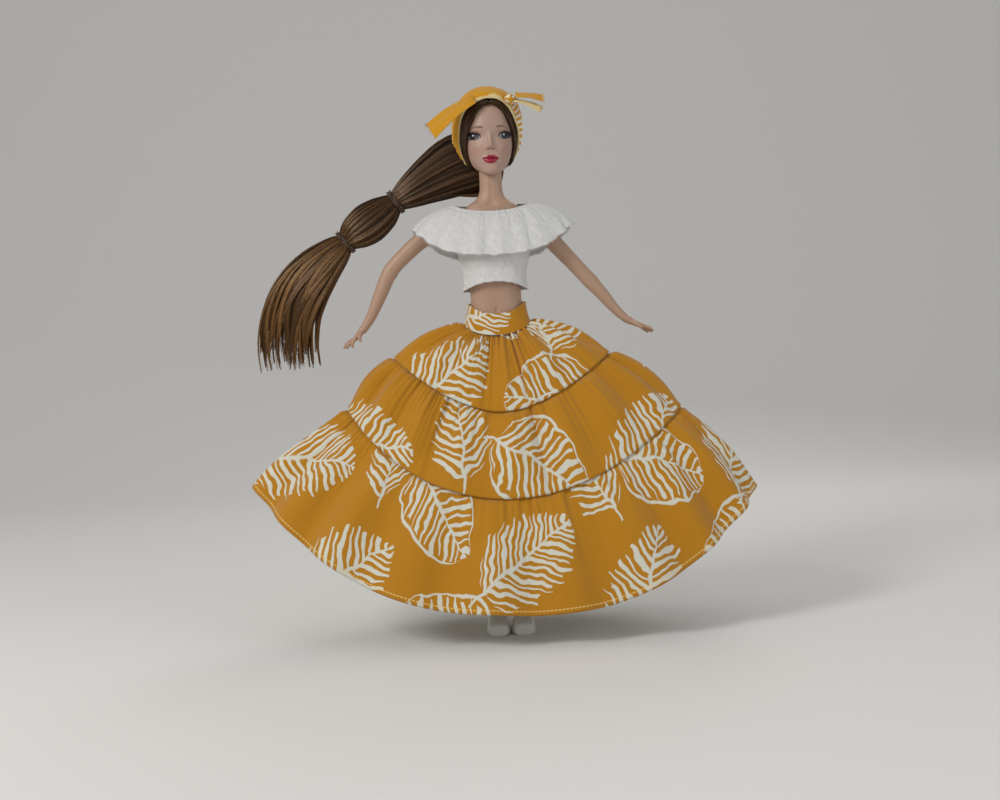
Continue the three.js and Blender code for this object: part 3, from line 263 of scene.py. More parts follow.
def join_pieces(name, pieces):
    """One object from several, with the first one's modifiers."""
    bpy.ops.object.select_all(action="DESELECT")
    for piece in pieces:
        piece.select_set(True)
    bpy.context.view_layer.objects.active = pieces[0]
    bpy.ops.object.join()
    joined = bpy.context.view_layer.objects.active
    joined.name = joined.data.name = name
    return joined


def rings_about(path, one_way, other_way, wide, deep, sides):
    """Rings round a path: wide along one way, deep along the other."""
    angle = (np.arange(sides) / sides * TAU)[:, None, None]
    return path[None] + np.cos(angle) * one_way * wide[:, None] + np.sin(angle) * other_way * deep[:, None]


def tubes(name, paths, radii, sides=3):
    """Thin tapering tubes, one for each path of points; radii has one value for each point."""
    vertices, faces, start = [], [], 0
    for path, radius in zip(paths, radii):
        along = unit(np.gradient(path, axis=0))
        side = unit(np.cross(along, np.array([0.0, 1.0, 0.02])))
        rings = rings_about(path, side, np.cross(side, along), radius, radius, sides)
        vertices.append(rings.transpose(1, 0, 2).reshape(-1, 3))
        index = start + np.arange(len(path) * sides).reshape(-1, sides)
        onward = np.roll(index, -1, 1)
        walls = np.stack([index[:-1], onward[:-1], onward[1:], index[1:]], -1).reshape(-1, 4)
        faces += walls.tolist() + [index[0][::-1].tolist(), index[-1].tolist()]
        start += len(path) * sides
    return new_piece(name, np.concatenate(vertices), faces)


# The doll's sizes, in millimetres, and its shapes as functions

HIP, TORSO, HEAD_HIGH = 150.0, 100.2, 42.0
NECK_TOP = HIP + TORSO
HEAD_BASE = NECK_TOP - 2.4
SHOULDER = HIP + 73.0
SHOULDER_X = 22.5
HEAD_HALF, FACE_DEEP, SKULL_DEEP = 12.9, 14.6, 15.4
HEAD_CENTRE = np.array([0.0, 0.0, HEAD_BASE + HEAD_HIGH / 2])
YAW = math.radians(6)
LAYER, CLOTH = 0.6, 0.8
SCARF_OFF = 2 * LAYER + 1.7

TORSO_ROWS = [
    (-0.122, 7.7, 3.1, 3.7), (-0.09, 11.9, 8.3, 8.8), (-0.04, 17.1, 11.2, 11.7), (0, 19.2, 11.75, 12.2),
    (0.08, 19.0, 11.2, 12.0), (0.15, 17.5, 10.6, 11.0), (0.22, 15.15, 10.2, 9.7), (0.3, 13.9, 9.7, 9.0),
    (0.38, 14.0, 10.4, 9.4), (0.46, 15.85, 12.0, 10.0), (0.54, 17.85, 14.15, 10.2), (0.58, 18.2, 14.6, 10.2),
    (0.64, 17.85, 13.15, 10.2), (0.7, 17.1, 10.5, 10.0), (0.76, 16.6, 8.6, 9.2), (0.8, 14.95, 7.6, 8.35),
    (0.83, 11.6, 6.85, 7.45), (0.855, 8.3, 6.4, 6.8), (0.89, 6.5, 6.1, 6.2), (0.93, 6.1, 6.1, 6.1),
    (1, 6.1, 6.1, 6.1),
]
HEAD_ROWS = [
    (0, 0.19, -0.66, 0.15, 0.17), (0.029, 0.36, -0.55, 0.32, 0.42), (0.076, 0.56, -0.27, 0.62, 0.62),
    (0.143, 0.745, -0.1, 0.82, 0.68), (0.238, 0.885, 0, 0.93, 0.82), (0.357, 0.975, 0, 0.96, 0.95),
    (0.476, 1, 0, 0.965, 1), (0.62, 0.99, 0, 0.975, 1), (0.76, 0.93, 0.02, 0.91, 0.94),
    (0.88, 0.75, 0.04, 0.74, 0.75), (0.95, 0.5, 0.05, 0.49, 0.5), (0.988, 0.24, 0.055, 0.24, 0.24),
    (1, 0.03, 0.055, 0.03, 0.03),
]


def torso_at(z):
    rows = smooth_rows(TORSO_ROWS, (np.asarray(z, float) - HIP) / TORSO)
    return rows[..., 0], rows[..., 1], rows[..., 2]


def torso_points(angle, z, offset=0.0):
    width, front, back = torso_at(z)
    x, y = oval(angle, width + offset, front + offset, back + offset, 2.3)
    return np.stack([x, y, np.broadcast_to(z, x.shape)], -1)


def head_reach(direction, offset=0.0):
    """Where lines from the head's centre leave the skin; direction is an array of unit vectors."""
    direction = unit(np.asarray(direction, float))
    low = np.full(direction.shape[:-1], 5.0)
    high = np.full(direction.shape[:-1], 42.0)
    for _ in range(22):
        middle = (low + high) / 2
        p = HEAD_CENTRE + direction * middle[..., None]
        rise = (p[..., 2] - HEAD_BASE) / HEAD_HIGH
        row = smooth_rows(HEAD_ROWS, np.clip(rise, 0, 1))
        y = p[..., 1] - row[..., 1] * FACE_DEEP
        depth = np.where(y < 0, row[..., 2] * FACE_DEEP, row[..., 3] * SKULL_DEEP)
        level = (np.abs(p[..., 0]) / (row[..., 0] * HEAD_HALF)) ** 2.15 + (np.abs(y) / depth) ** 2.15
        inside = (rise > 0) & (rise < 1) & (level < 1)
        low = np.where(inside, middle, low)
        high = np.where(inside, high, middle)
    return HEAD_CENTRE + direction * (low + offset)[..., None]


def yawed(points):
    """Head pieces are shaped facing -Y and turned a little to the doll's left."""
    c, s = math.cos(YAW), math.sin(YAW)
    x, y = points[..., 0], points[..., 1]
    return np.stack([c * x - s * y, s * x + c * y, points[..., 2]], -1)


def waist_edge(angle):
    return HIP + 29.5 - 6 * np.maximum(0, -np.sin(angle)) ** 2


def skirt_points(angle, share):
    side = np.abs(np.cos(angle))
    top = waist_edge(angle) - 11.5
    waist = torso_points(angle, top, LAYER)
    hem_x, hem_y = oval(angle, 135.0, 52.0, 52.0, 2)
    hem_z = mix(18.0, 78.0, side**2.6) - 7.0 * np.cos(angle)
    sideways = side**1.5
    sag = 0.12 * np.maximum(0, -np.cos(angle)) ** 1.5 * np.sin(math.pi * share**1.6) ** 2
    out = share + 0.07 * sideways * np.sin(math.pi * share) - sag
    down = share ** mix(1.05, 1.35, sideways)
    return np.stack(
        [mix(waist[..., 0], hem_x, out), mix(waist[..., 1], hem_y, out), mix(top, hem_z, down)], -1
    )


COLLAR_NECK, COLLAR_HEM = (20.6, 9.6, 9.6, 2.4), (43.0, 19.5, 16.0, 2.1)


def collar_points(angle, share):
    side = np.abs(np.cos(angle))
    front = np.maximum(0, -np.sin(angle))
    neck_z = HIP + 82.4 - 4.4 * front**2
    hem_z = neck_z - mix(24.0 + 6.0 * ease(-front * 8 + 1), 12.0, side**3)
    neck_x, neck_y = oval(angle, *COLLAR_NECK)
    hem_x, hem_y = oval(angle, *COLLAR_HEM)
    out = share + 0.1 * np.sin(math.pi * share)
    down = share**1.35
    return np.stack([mix(neck_x, hem_x, out), mix(neck_y, hem_y, out), mix(neck_z, hem_z, down)], -1)


# Materials


def node_material(name, base, rough=0.5, **sockets):
    """A procedural material; sockets are set on the shader's own inputs."""
    material = bpy.data.materials.new(name)
    material.use_nodes = True
    shader = material.node_tree.nodes["Principled BSDF"].inputs
    shader["Base Color"].default_value = (*base, 1)
    shader["Roughness"].default_value = rough
    for label, value in sockets.items():
        shader[label.replace("_", " ")].default_value = value
    return material, shader


def add_node(tree, kind, **settings):
    node = tree.nodes.new(kind)
    for key, value in settings.items():
        setattr(node, key, value)
    return node


def feed(entry, value):
    """Gives a node's input a number, a colour or a field."""
    if isinstance(value, Field):
        value.tree.links.new(value.socket, entry)
    else:
        entry.default_value = (*value, 1) if entry.type == "RGBA" else value


def maths(operation, *values, clamp=False):
    """A maths node; each value is a number or a field."""
    tree = next(value.tree for value in values if isinstance(value, Field))
    node = add_node(tree, "ShaderNodeMath", operation=operation, use_clamp=clamp)
    for entry, value in zip(node.inputs, values):
        feed(entry, value)
    return Field(node.outputs[0])


class Field:
    """A value that varies over a material; signs between fields and numbers add maths nodes."""

    def __init__(self, socket):
        self.socket, self.tree = socket, socket.id_data

    def __add__(self, other):
        return maths("ADD", self, other)

    def __radd__(self, other):
        return maths("ADD", other, self)

    def __sub__(self, other):
        return maths("SUBTRACT", self, other)

    def __rsub__(self, other):
        return maths("SUBTRACT", other, self)

    def __mul__(self, other):
        return maths("MULTIPLY", self, other)

    def __truediv__(self, other):
        return maths("DIVIDE", self, other)

    def __pow__(self, other):
        return maths("POWER", self, other)

    def __lt__(self, other):
        return maths("LESS_THAN", self, other)

    def __gt__(self, other):
        return maths("GREATER_THAN", self, other)

    def __abs__(self):
        return maths("ABSOLUTE", self)


def node_field(tree, kind, output, vector=None, inputs=(), **settings):
    """One output of a new node as a field; inputs are pairs of label and value."""
    node = add_node(tree, kind, **settings)
    if vector is not None:
        feed(node.inputs["Vector"], vector)
    for label, value in inputs:
        feed(node.inputs[label], value)
    return Field(node.outputs[output])


def soft_step(value, low, high):
    """0 below low, 1 above high; they may be given the other way round."""
    limits = (("Value", value), ("From Min", low), ("From Max", high), ("To Min", 0), ("To Max", 1))
    return node_field(value.tree, "ShaderNodeMapRange", 0, inputs=limits, interpolation_type="SMOOTHSTEP")


def noise(vector, scale, detail=3.0, rough=0.55, shift=None):
    if shift is not None:
        move = shift, shift * 0.7, shift * 0.3
        mapping = (("Scale", (1, 1, 1)), ("Location", move))
        vector = node_field(vector.tree, "ShaderNodeMapping", 0, vector, mapping)
    settings = (("Scale", scale), ("Detail", detail), ("Roughness", rough))
    return node_field(vector.tree, "ShaderNodeTexNoise", 0, vector, settings)


def blend_colour(share, first, second):
    tree = next(value.tree for value in (share, first, second) if isinstance(value, Field))
    node = add_node(tree, "ShaderNodeMix", data_type="RGBA", blend_type="MIX")
    for number, value in ((0, share), (6, first), (7, second)):
        feed(node.inputs[number], value)
    return Field(node.outputs[2])


def tinted(colour, *shares):
    return tuple(c * share for c, share in zip(colour, shares))


def bump(shader, height, distance, strength):
    inputs = (("Strength", strength), ("Distance", distance), ("Height", height))
    feed(shader["Normal"], node_field(height.tree, "ShaderNodeBump", 0, inputs=inputs))


def uv_of(material):
    return node_field(material.node_tree, "ShaderNodeTexCoord", "UV")


def place_of(material):
    return node_field(material.node_tree, "ShaderNodeTexCoord", "Object")


def split_uv(uv):
    node = add_node(uv.tree, "ShaderNodeSeparateXYZ")
    feed(node.inputs[0], uv)
    return Field(node.outputs[0]), Field(node.outputs[1])


def painted_layer(material, layer, output):
    return node_field(material.node_tree, "ShaderNodeVertexColor", output, layer_name=layer)


def skin_material(name, base, painted=False):
    """Matt moulded plastic or vinyl with a faint translucency, a fine orange-peel and soft blotches."""
    material, shader = node_material(
        name, base, Subsurface_Weight=0.18, Subsurface_Radius=(0.004, 0.0016, 0.0008), Subsurface_Scale=0.5,
        Specular_IOR_Level=0.38,
    )
    place = place_of(material)
    colour = blend_colour(noise(place, 90.0, 2) * 0.5, base, tinted(base, 0.97, 0.9, 0.86))
    if painted:
        cover = painted_layer(material, "paint", "Alpha")
        colour = blend_colour(cover, colour, painted_layer(material, "paint", "Color"))
        rough = 0.46 - painted_layer(material, "gloss", "Alpha") * 0.33
    else:
        rough = 0.42 + soft_step(noise(place, 160.0, 3), 0.3, 0.7) * 0.08
    feed(shader["Roughness"], rough)
    feed(shader["Base Color"], colour)
    bump(shader, noise(place, 2600.0, 2), 0.00004, 0.35)
    return material


skin = skin_material("skin plastic", (0.42, 0.272, 0.190))
vinyl = skin_material("face vinyl", (0.42, 0.282, 0.222), painted=True)


def plastic_material(name, base, rough, grain):
    material, shader = node_material(name, base)
    place = place_of(material)
    spread = noise(place, grain, 3)
    feed(shader["Base Color"], blend_colour(spread * 0.35, base, tinted(base, 0.86, 0.86, 0.86)))
    feed(shader["Roughness"], rough - 0.05 + spread * 0.14)
    bump(shader, noise(place, grain * 9, 2), 0.00005, 0.4)
    return material


nylon = plastic_material("moulded nylon", (0.72, 0.66, 0.56), 0.36, 260.0)
shoe_plastic = plastic_material("white shoe plastic", (0.72, 0.71, 0.68), 0.32, 190.0)
WEAVE_PITCHES = {"print": 0.00042, "scarf": 0.00038, "white": 0.00036}


def cloth_base(name, colour, rough, weave, fuzz=0.25):
    """Woven cloth: threads both ways from the flat pattern's own metres, with a little fuzz."""
    material, shader = node_material(
        name, colour, rough, Sheen_Weight=fuzz, Sheen_Roughness=0.5, Specular_IOR_Level=0.2
    )
    uv = uv_of(material)
    u, v = split_uv(uv)
    wander = noise(uv, 900.0, 2) * 2.2
    pitch = TAU / WEAVE_PITCHES[weave]
    threads = maths("SINE", u * pitch + wander) * maths("SINE", v * pitch + wander)
    return material, shader, uv, threads, threads * 0.25 + noise(uv, 120.0, 3)


def thread_material(name, colour):
    material, shader = node_material(name, colour, 0.85, Sheen_Weight=0.3)
    twist = noise(place_of(material), 5200.0, 2)
    feed(shader["Base Color"], blend_colour(twist, tinted(colour, 0.82, 0.82, 0.82), colour))
    bump(shader, twist, 0.00003, 0.6)
    return material


def paint_with(piece, material, body, node):
    piece.data.materials.clear()
    piece.data.materials.append(material)
    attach(piece, body)
    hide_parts(node)


def turned_x(name, profile, centre_z, sides=72):
    """A lathed solid about a line along X; profile rows are (x, radius), closed at both ends."""
    angle = np.arange(sides) / sides * TAU
    xs, radii = np.array(profile, float).T
    points = np.stack(
        [
            np.broadcast_to(xs, (sides, len(xs))),
            np.cos(angle)[:, None] * np.maximum(radii, 0.01),
            centre_z + np.sin(angle)[:, None] * np.maximum(radii, 0.01),
        ],
        -1,
    )
    return faces_outward(grid_mesh(name, points, wrap=True, cap_ends=True))


def carve(piece, tools, operation="DIFFERENCE"):
    for tool in tools:
        modifier = piece.modifiers.new("carve", "BOOLEAN")
        modifier.object = tool
        modifier.operation = operation
        modifier.solver = "EXACT"
        bpy.context.view_layer.objects.active = piece
        bpy.ops.object.modifier_apply(modifier=modifier.name)
    return piece


def discard(pieces):
    for piece in pieces:
        bpy.data.objects.remove(piece)


def apply_all(piece):
    bpy.context.view_layer.objects.active = piece
    for modifier in list(piece.modifiers):
        bpy.ops.object.modifier_apply(modifier=modifier.name)
    return piece


def remeshed(piece, voxel, smoothing=4, factor=0.5):
    modifier = piece.modifiers.new("skin", "REMESH")
    modifier.mode = "VOXEL"
    modifier.voxel_size = voxel * MM
    modifier.use_smooth_shade = True
    if smoothing:
        soften = piece.modifiers.new("soften", "SMOOTH")
        soften.factor = factor
        soften.iterations = smoothing
    return apply_all(piece)


# Torso: two moulded shells that meet at the sides


def torso_form(angle, z):
    """The body's skin with its navel, collar bones, spine and belly lines."""
    points = torso_points(angle, z)
    normal = unit(points * np.array([1.0, 1.6, 0.0]))
    x = points[..., 0]
    front = points[..., 1] < 0
    up = z - HIP
    navel = 0.9 * bump_curve(x, 0, 0.75) * bump_curve(up, 25.4, 1.1)
    dish = 0.35 * bump_curve(x, 0, 2.2) * bump_curve(up, 25.8, 3.0)
    midline = 0.28 * bump_curve(x, 0, 1.4) * ease((up - 24) / 8) * ease((62 - up) / 12)
    ribs = 0.3 * bump_curve(np.abs(x), 5.2 + 0.05 * up, 2.0) * bump_curve(up, 36, 9)
    groin = 0.25 * bump_curve(up - 2 - np.abs(x) * 0.75, 0, 1.6) * (np.abs(x) > 1)
    bones = 0.62 * bump_curve(up - 82.6 + 0.06 * np.abs(x), 0, 1.1)
    bones = bones * ease((np.abs(x) - 2) / 2) * ease((15 - np.abs(x)) / 4)
    notch = 0.7 * bump_curve(x, 0, 1.6) * bump_curve(up, 83.4, 1.7)
    cords = 0.22 * bump_curve(np.abs(x) - (90 - up) * 0.1 - 1.6, 0, 0.9)
    cords = cords * ease((up - 84) / 3) * ease((99 - up) / 6)
    spine = 0.5 * bump_curve(x, 0, 1.7) * ease((up - 12) / 8) * ease((80 - up) / 10)
    blades = 0.5 * bump_curve(np.abs(x), 8.5, 2.6) * bump_curve(up, 66, 7)
    seat = 0.8 * bump_curve(x, 0, 1.3) * ease((10 - up) / 8)
    before = bones + cords + ribs - navel - dish - midline - groin - notch
    shape = np.where(front, before, blades - spine - seat)
    return points + normal * shape[..., None]


def torso_half(name, start, stop):
    """One wall of the body with its inner face 1.5 inside, a hair's breadth from the other half."""
    columns, rows = 150, 330
    way = np.sign(math.sin((start + stop) / 2))
    angle = np.linspace(start, stop, columns)[:, None]
    angle, z = np.broadcast_arrays(angle, HIP + TORSO * np.linspace(-0.12, 1, rows)[None, :])
    points = torso_form(angle, z)
    inner = torso_points(angle, z, -1.5)
    inner[..., 1] = np.where(np.abs(inner[..., 1]) < 0.2, way * 0.2, inner[..., 1])
    points[..., 1] += way * 0.09
    piece = faces_outward(grid_mesh(name, np.concatenate([points, inner[::-1]]), wrap=True))
    work = bmesh.new()
    work.from_mesh(piece.data)
    fill_holes(work)
    split_wide_faces(work)
    bmesh.ops.recalc_face_normals(work, faces=work.faces)
    from_bmesh(name, work, piece.data)
    return piece


def leg_top_rows(offset):
    inner = 8.2 + 0.35 - offset
    shares = ((0, 1), (0.42, 1), (0.6, 0.95), (0.7, 0.88), (0.82, 0.76), (0.9, 0.62), (0.96, 0.43), (0.99, 0.28))
    rows = [(inner, 0)]
    rows += [(inner + offset + s * 12.6 + (offset if s > 0 else -offset), r * 12.8 + offset) for s, r in shares]
    return rows + [(inner + 2 * offset + 12.6, 0)]


cutters = []
for side in (1, -1):
    for rows, height in (
        (leg_top_rows(0.5), HIP),
        ([(8.2, 0), (8.2, 13.3), (23.2, 13.3), (23.2, 0)], HIP),
        ([(14.85, 0), (14.85, 4.9), (22.5, 4.9), (22.5, 0)], SHOULDER),
        ([(2, 0), (2, 2.7), (22.5, 2.7), (22.5, 0)], SHOULDER),
    ):
        cutters.append(turned_x("cutter", [(side * x, r) for x, r in rows], height))
cutters.append(turned_x("cutter", [(-19, 0), (-19, 2.3), (19, 2.3), (19, 0)], HIP))
for word, start, stop in (("front", -math.pi, 0), ("back", 0, math.pi)):
    half_body = carve(torso_half(f"torso_{word}_moulding", start, stop), cutters)
    paint_with(half_body, skin, "torso", f"torso_{word}_shell")
discard(cutters)


# Arms and hands


def sweep_rings(centres, radii_across, radii_deep, sides=36):
    """A round-ended body through centres in the XZ plane; depth is along Y."""
    along = unit(np.gradient(centres, axis=0))
    across = unit(np.stack([-along[:, 2], np.zeros(len(along)), along[:, 0]], -1))
    return rings_about(centres, across, unit(np.cross(across, along)), radii_across, radii_deep, sides)


def finger_rings(path, radii, sides=20):
    along = unit(np.gradient(path, axis=0))
    side = unit(np.cross(along, np.array([0.05, 1.0, 0.0])))
    return rings_about(path, side, np.cross(side, along), radii, radii, sides)


LEFT_ARM = [
    (0, 0, 0, 0.078, 0.078), (0.11, 0.1, -0.12, 0.077, 0.076), (0.21, 0.186, -0.225, 0.074, 0.074),
    (0.35, 0.312, -0.368, 0.068, 0.07), (0.47, 0.44, -0.517, 0.065, 0.065), (0.62, 0.568, -0.667, 0.056, 0.058),
    (0.73, 0.656, -0.779, 0.045, 0.048), (0.83, 0.752, -0.878, 0.036, 0.042), (0.87, 0.80, -0.905, 0.036, 0.046),
]
RIGHT_ARM = [
    (0, 0, 0, 0.078, 0.078), (0.12, 0.13, -0.06, 0.077, 0.076), (0.24, 0.258, -0.122, 0.074, 0.074),
    (0.42, 0.464, -0.296, 0.068, 0.068), (0.51, 0.555, -0.4, 0.066, 0.066), (0.64, 0.634, -0.56, 0.061, 0.062),
    (0.78, 0.733, -0.768, 0.045, 0.048), (0.84, 0.785, -0.85, 0.037, 0.043), (0.88, 0.82, -0.89, 0.037, 0.047),
]
# Palms and fingers: three places each, from the root to the tip, as shares of the arm's span
LEFT_HAND = {
    "palm": [(0.785, 0, -0.9), (0.85, 0, -0.932), (0.9, 0, -0.955)],
    "fingers": [
        [(0.885, -0.035, -0.945), (0.935, -0.046, -0.962), (0.985, -0.05, -0.99)],
        [(0.89, -0.012, -0.95), (0.945, -0.014, -0.972), (1.0, -0.014, -1.004)],
        [(0.885, 0.012, -0.955), (0.94, 0.016, -0.98), (0.99, 0.018, -1.016)],
        [(0.88, 0.034, -0.955), (0.92, 0.042, -0.984), (0.958, 0.046, -1.015)],
    ],
    "thumb": [(0.81, -0.03, -0.915), (0.855, -0.072, -0.94), (0.9, -0.082, -0.975)],
}
RIGHT_HAND = {
    "palm": [(0.81, 0, -0.875), (0.853, 0, -0.925), (0.885, 0, -0.96)],
    "fingers": [
        [(0.872, -0.035, -0.945), (0.90, -0.048, -0.99), (0.905, -0.052, -1.035)],
        [(0.882, -0.012, -0.95), (0.93, -0.014, -0.996), (0.962, -0.014, -1.042)],
        [(0.885, 0.012, -0.955), (0.945, 0.016, -0.99), (0.99, 0.018, -1.035)],
        [(0.88, 0.034, -0.95), (0.935, 0.042, -0.975), (0.985, 0.048, -1.008)],
    ],
    "thumb": [(0.825, -0.03, -0.895), (0.835, -0.072, -0.94), (0.828, -0.084, -0.985)],
}
SPAN = 62.5


def through_three(places, t):
    """A smooth line through three places of a hand, in millimetres."""
    spots = [(p[0] * SPAN + SHOULDER_X, p[1] * SPAN, p[2] * SPAN + SHOULDER) for p in places]
    return smooth_rows([(share, *spot) for share, spot in zip((0, 0.5, 1), spots)], t)


def build_arm(name, side, table, hand):
    share = np.linspace(0, table[-1][0], 60)
    rows = smooth_rows(table, share)
    elbow = 0.004 * bump_curve(share, 0.5, 0.03)
    wrist = 0.004 * bump_curve(share, table[-2][0], 0.02)
    centres = np.stack([rows[:, 0] * SPAN + SHOULDER_X, np.zeros(60), rows[:, 1] * SPAN + SHOULDER], -1)
    solids = [sweep_rings(centres, (rows[:, 2] + elbow) * SPAN, (rows[:, 3] + wrist) * SPAN)]
    t, knots = np.linspace(0, 1, 9), [0, 0.5, 1]
    wide, deep = np.interp(t, knots, [1.9, 1.75, 1.25]), np.interp(t, knots, [2.6, 3.6, 3.1])
    solids.append(sweep_rings(through_three(hand["palm"], t), wide, deep))
    t = np.linspace(0, 1, 12)
    taper = np.interp(t, [0, 0.45, 0.5, 0.9, 1], [1, 0.92, 0.98, 0.72, 0.34])
    fingers = [(finger, 0.98) for finger in hand["fingers"]] + [(hand["thumb"], 1.15)]
    solids += [finger_rings(through_three(finger, t), taper * thick) for finger, thick in fingers]
    parts = [grid_mesh("arm part", solid, wrap=True, cap_ends=True) for solid in solids]
    work = bmesh.new()
    bmesh.ops.create_icosphere(work, subdivisions=5, radius=5.2 * MM)
    bmesh.ops.translate(work, verts=work.verts, vec=(SHOULDER_X * MM, 0, SHOULDER * MM))
    parts.append(in_scene("arm part", from_bmesh("arm part", work)))
    arm = remeshed(join_pieces(name, parts), 0.24, 9)
    half = 1.1 + 0.5
    slot_box = box_piece((SHOULDER_X - 8.4, -half, SHOULDER - 3.4), (SHOULDER_X + 3.4, half, SHOULDER + 8.4))
    bore = turned_x("cutter", [(-8, 0), (-8, 1.35), (8, 1.35), (8, 0)], 0.0, 32)
    aside = Matrix.Translation((SHOULDER_X * MM, 0, SHOULDER * MM))
    bore.data.transform(aside @ Matrix.Rotation(math.pi / 2, 4, "Z"))
    carve(arm, [slot_box, bore])
    discard([slot_box, bore])
    if side < 0:
        mirror(arm.data)
    return arm


def box_piece(low, high):
    work = bmesh.new()
    bmesh.ops.create_cube(work, size=1.0)
    low, high = np.array(low) * MM, np.array(high) * MM
    for vertex in work.verts:
        vertex.co = [mix(low[k], high[k], vertex.co[k] + 0.5) for k in range(3)]
    return in_scene("cutter", from_bmesh("cutter", work))


def mirror(mesh):
    mesh.transform(Matrix.Diagonal((-1, 1, 1, 1)))
    mesh.flip_normals()
    return mesh


for side, word, table, hand in ((1, "left", LEFT_ARM, LEFT_HAND), (-1, "right", RIGHT_ARM, RIGHT_HAND)):
    arm = build_arm(f"{word}_arm_moulding", side, table, hand)
    paint_with(arm, skin, f"{word}_arm", f"{word}_arm")


# Legs and shoes

LEG_ROWS = [
    (0.0498, 6.9, 3.74, 4.76, 4.42), (0.1133, 6.9, 3.4, 3.4, 3.4), (0.2, 7.04, 3.88, 3.4, 4.34),
    (0.3, 7.25, 5.15, 4.08, 6.32), (0.4, 7.52, 6.2, 4.76, 7.44), (0.49, 7.59, 5.43, 5.6, 5.6),
    (0.55, 7.73, 5.77, 6.5, 5.6), (0.63, 8.42, 6.93, 7.52, 6.86), (0.75, 9.6, 8.28, 9.02, 9.02),
    (0.85, 10.62, 9.27, 9.59, 10.34), (0.93, 12.6, 8.28, 9.02, 10.34), (1, 14.58, 5.58, 7.99, 7.99),
]
FOOT = [
    (0.05, 0.42, 0.3, 0.78), (0.2, 0.58, 0.2, 0.84), (0.42, 0.7, 0.2, 0.82), (0.66, 0.76, 0.2, 0.6),
    (0.85, 0.68, 0.2, 0.44), (0.94, 0.5, 0.22, 0.36),
]
SHOE = [
    (0, 0.5, 0, 0.92), (0.03, 0.68, 0, 1), (0.2, 0.78, 0, 1.02), (0.42, 0.86, 0, 1.02), (0.66, 1, 0, 0.8),
    (0.86, 1, 0, 0.62), (0.97, 0.84, 0, 0.5), (1, 0.6, 0, 0.36),
]
SHOE_HALF, SHOE_LONG, SHOE_HIGH, HEEL_Y, FOOT_X = 6.2, 27.0, 11.5, 10.0, 6.9


def leg_form(share, angle):
    rows = smooth_rows(LEG_ROWS, share)
    x, y = oval(angle, rows[..., 1], rows[..., 2], rows[..., 3])
    z = share * HIP
    cap = 0.32 * hill(x, z, 0, 2.6, 79, 4.2) * (y < 0)
    hollow = 0.3 * hill(np.abs(x), z, 3.6, 1.2, 79, 3.5) * (y < 0)
    shin = 0.15 * bump_curve(x, 0, 1.0) * ease((z - 20) / 12) * ease((70 - z) / 14) * (y < 0)
    calf = 0.22 * hill(x, z, 0, 1.2, 60, 12) * (y > 0)
    grow = 1 + (cap - hollow + shin - calf) / np.maximum(np.hypot(x, y), 1)
    return np.stack([np.maximum(rows[..., 0] + x * grow, 0.3), y * grow, z], -1)


def foot_form(rows, offset, along):
    half, low, high = smooth_rows(rows, along).T * np.array([SHOE_HALF, SHOE_HIGH, SHOE_HIGH])[:, None]
    half, low, high = half + offset, low - offset, high + offset
    turn = np.linspace(0, TAU, 65)[:-1][:, None]
    c, s = np.cos(turn), np.sin(turn)
    across = np.sign(c) * np.abs(c) ** 0.62
    rise = np.where(s < 0, 0.5 - 0.5 * np.abs(s) ** 0.4, 0.5 + 0.53 * np.abs(s) ** 0.9)
    x = FOOT_X + across * half * (1.04 - 0.16 * rise)
    y = HEEL_Y - along * SHOE_LONG
    return np.stack(np.broadcast_arrays(x, y[None, :], low + (high - low) * rise), -1)


def closed_solid(name, rings):
    return faces_outward(grid_mesh(name, rings, wrap=True, cap_ends=True))


def leg_solid(name, top, rows, grow=1.0):
    share = np.linspace(LEG_ROWS[0][0], top, rows)[None, :]
    angle = (np.arange(64) / 64 * TAU)[:, None]
    rings = leg_form(*np.broadcast_arrays(share, angle))
    middle = np.array([FOOT_X, 0])
    rings[..., :2] = middle + (rings[..., :2] - middle) * grow
    return closed_solid(name, rings)


FOOT_SHARES = np.linspace(0.05, 0.94, 40)
solids = [leg_solid("leg part", 1, 120), turned_x("leg part", leg_top_rows(0), HIP)]
solids.append(closed_solid("leg part", foot_form(FOOT, 0, FOOT_SHARES)))
left_leg = remeshed(join_pieces("left_leg_moulding", solids), 0.42, 5)
relief = turned_x("cutter", [(-12.6, 0), (-12.6, 16.4), (8.55, 16.4), (8.55, 0)], HIP)
socket = turned_x("cutter", [(0, 0), (0, 2.15), (14.55, 2.15), (14.55, 0)], HIP)
carve(left_leg, [relief, socket])
discard([relief, socket])

along = np.concatenate([np.linspace(0, 0.06, 14), np.linspace(0.06, 0.9, 70)[1:], np.linspace(0.9, 1, 24)[1:]])
left_shoe = remeshed(closed_solid("left shoe", foot_form(SHOE, 0, along)), 0.3, 2)
inner = closed_solid("cutter", foot_form(FOOT, 0.35, FOOT_SHARES))
opening = leg_solid("cutter", 0.2, 20, 1.1)
carve(left_shoe, [inner, opening])
discard([inner, opening])
share = np.linspace(0.015, 0.985, 70)
half, y = smooth_rows(SHOE, share)[:, 0] * SHOE_HALF * 0.985, HEEL_Y - share * SHOE_LONG
loops = []
for level in (1.5, 1.95):
    sides = [np.stack([FOOT_X + way * half[::way], y[::way], np.full(70, level)], -1) for way in (1, -1)]
    loops.append(np.concatenate(sides + [sides[0][:1]]))
welt = [tubes("left shoe part", [loop], [np.full(len(loop), 0.2)], sides=8) for loop in loops]
left_shoe = join_pieces("left_shoe_moulding", [left_shoe] + welt)
pairs = ((left_leg, "leg", skin, "skin"), (left_shoe, "shoe", shoe_plastic, "shoe_plastic"))
for left, node, material, slot in pairs:
    right = in_scene(f"right_{node}_moulding", mirror(left.data.copy()))
    for word, piece in (("left", left), ("right", right)):
        paint_with(piece, material, f"{word}_leg", f"{word}_{node}")


# Head: hollow vinyl with a sculpted face and printed eyes, brows and lips

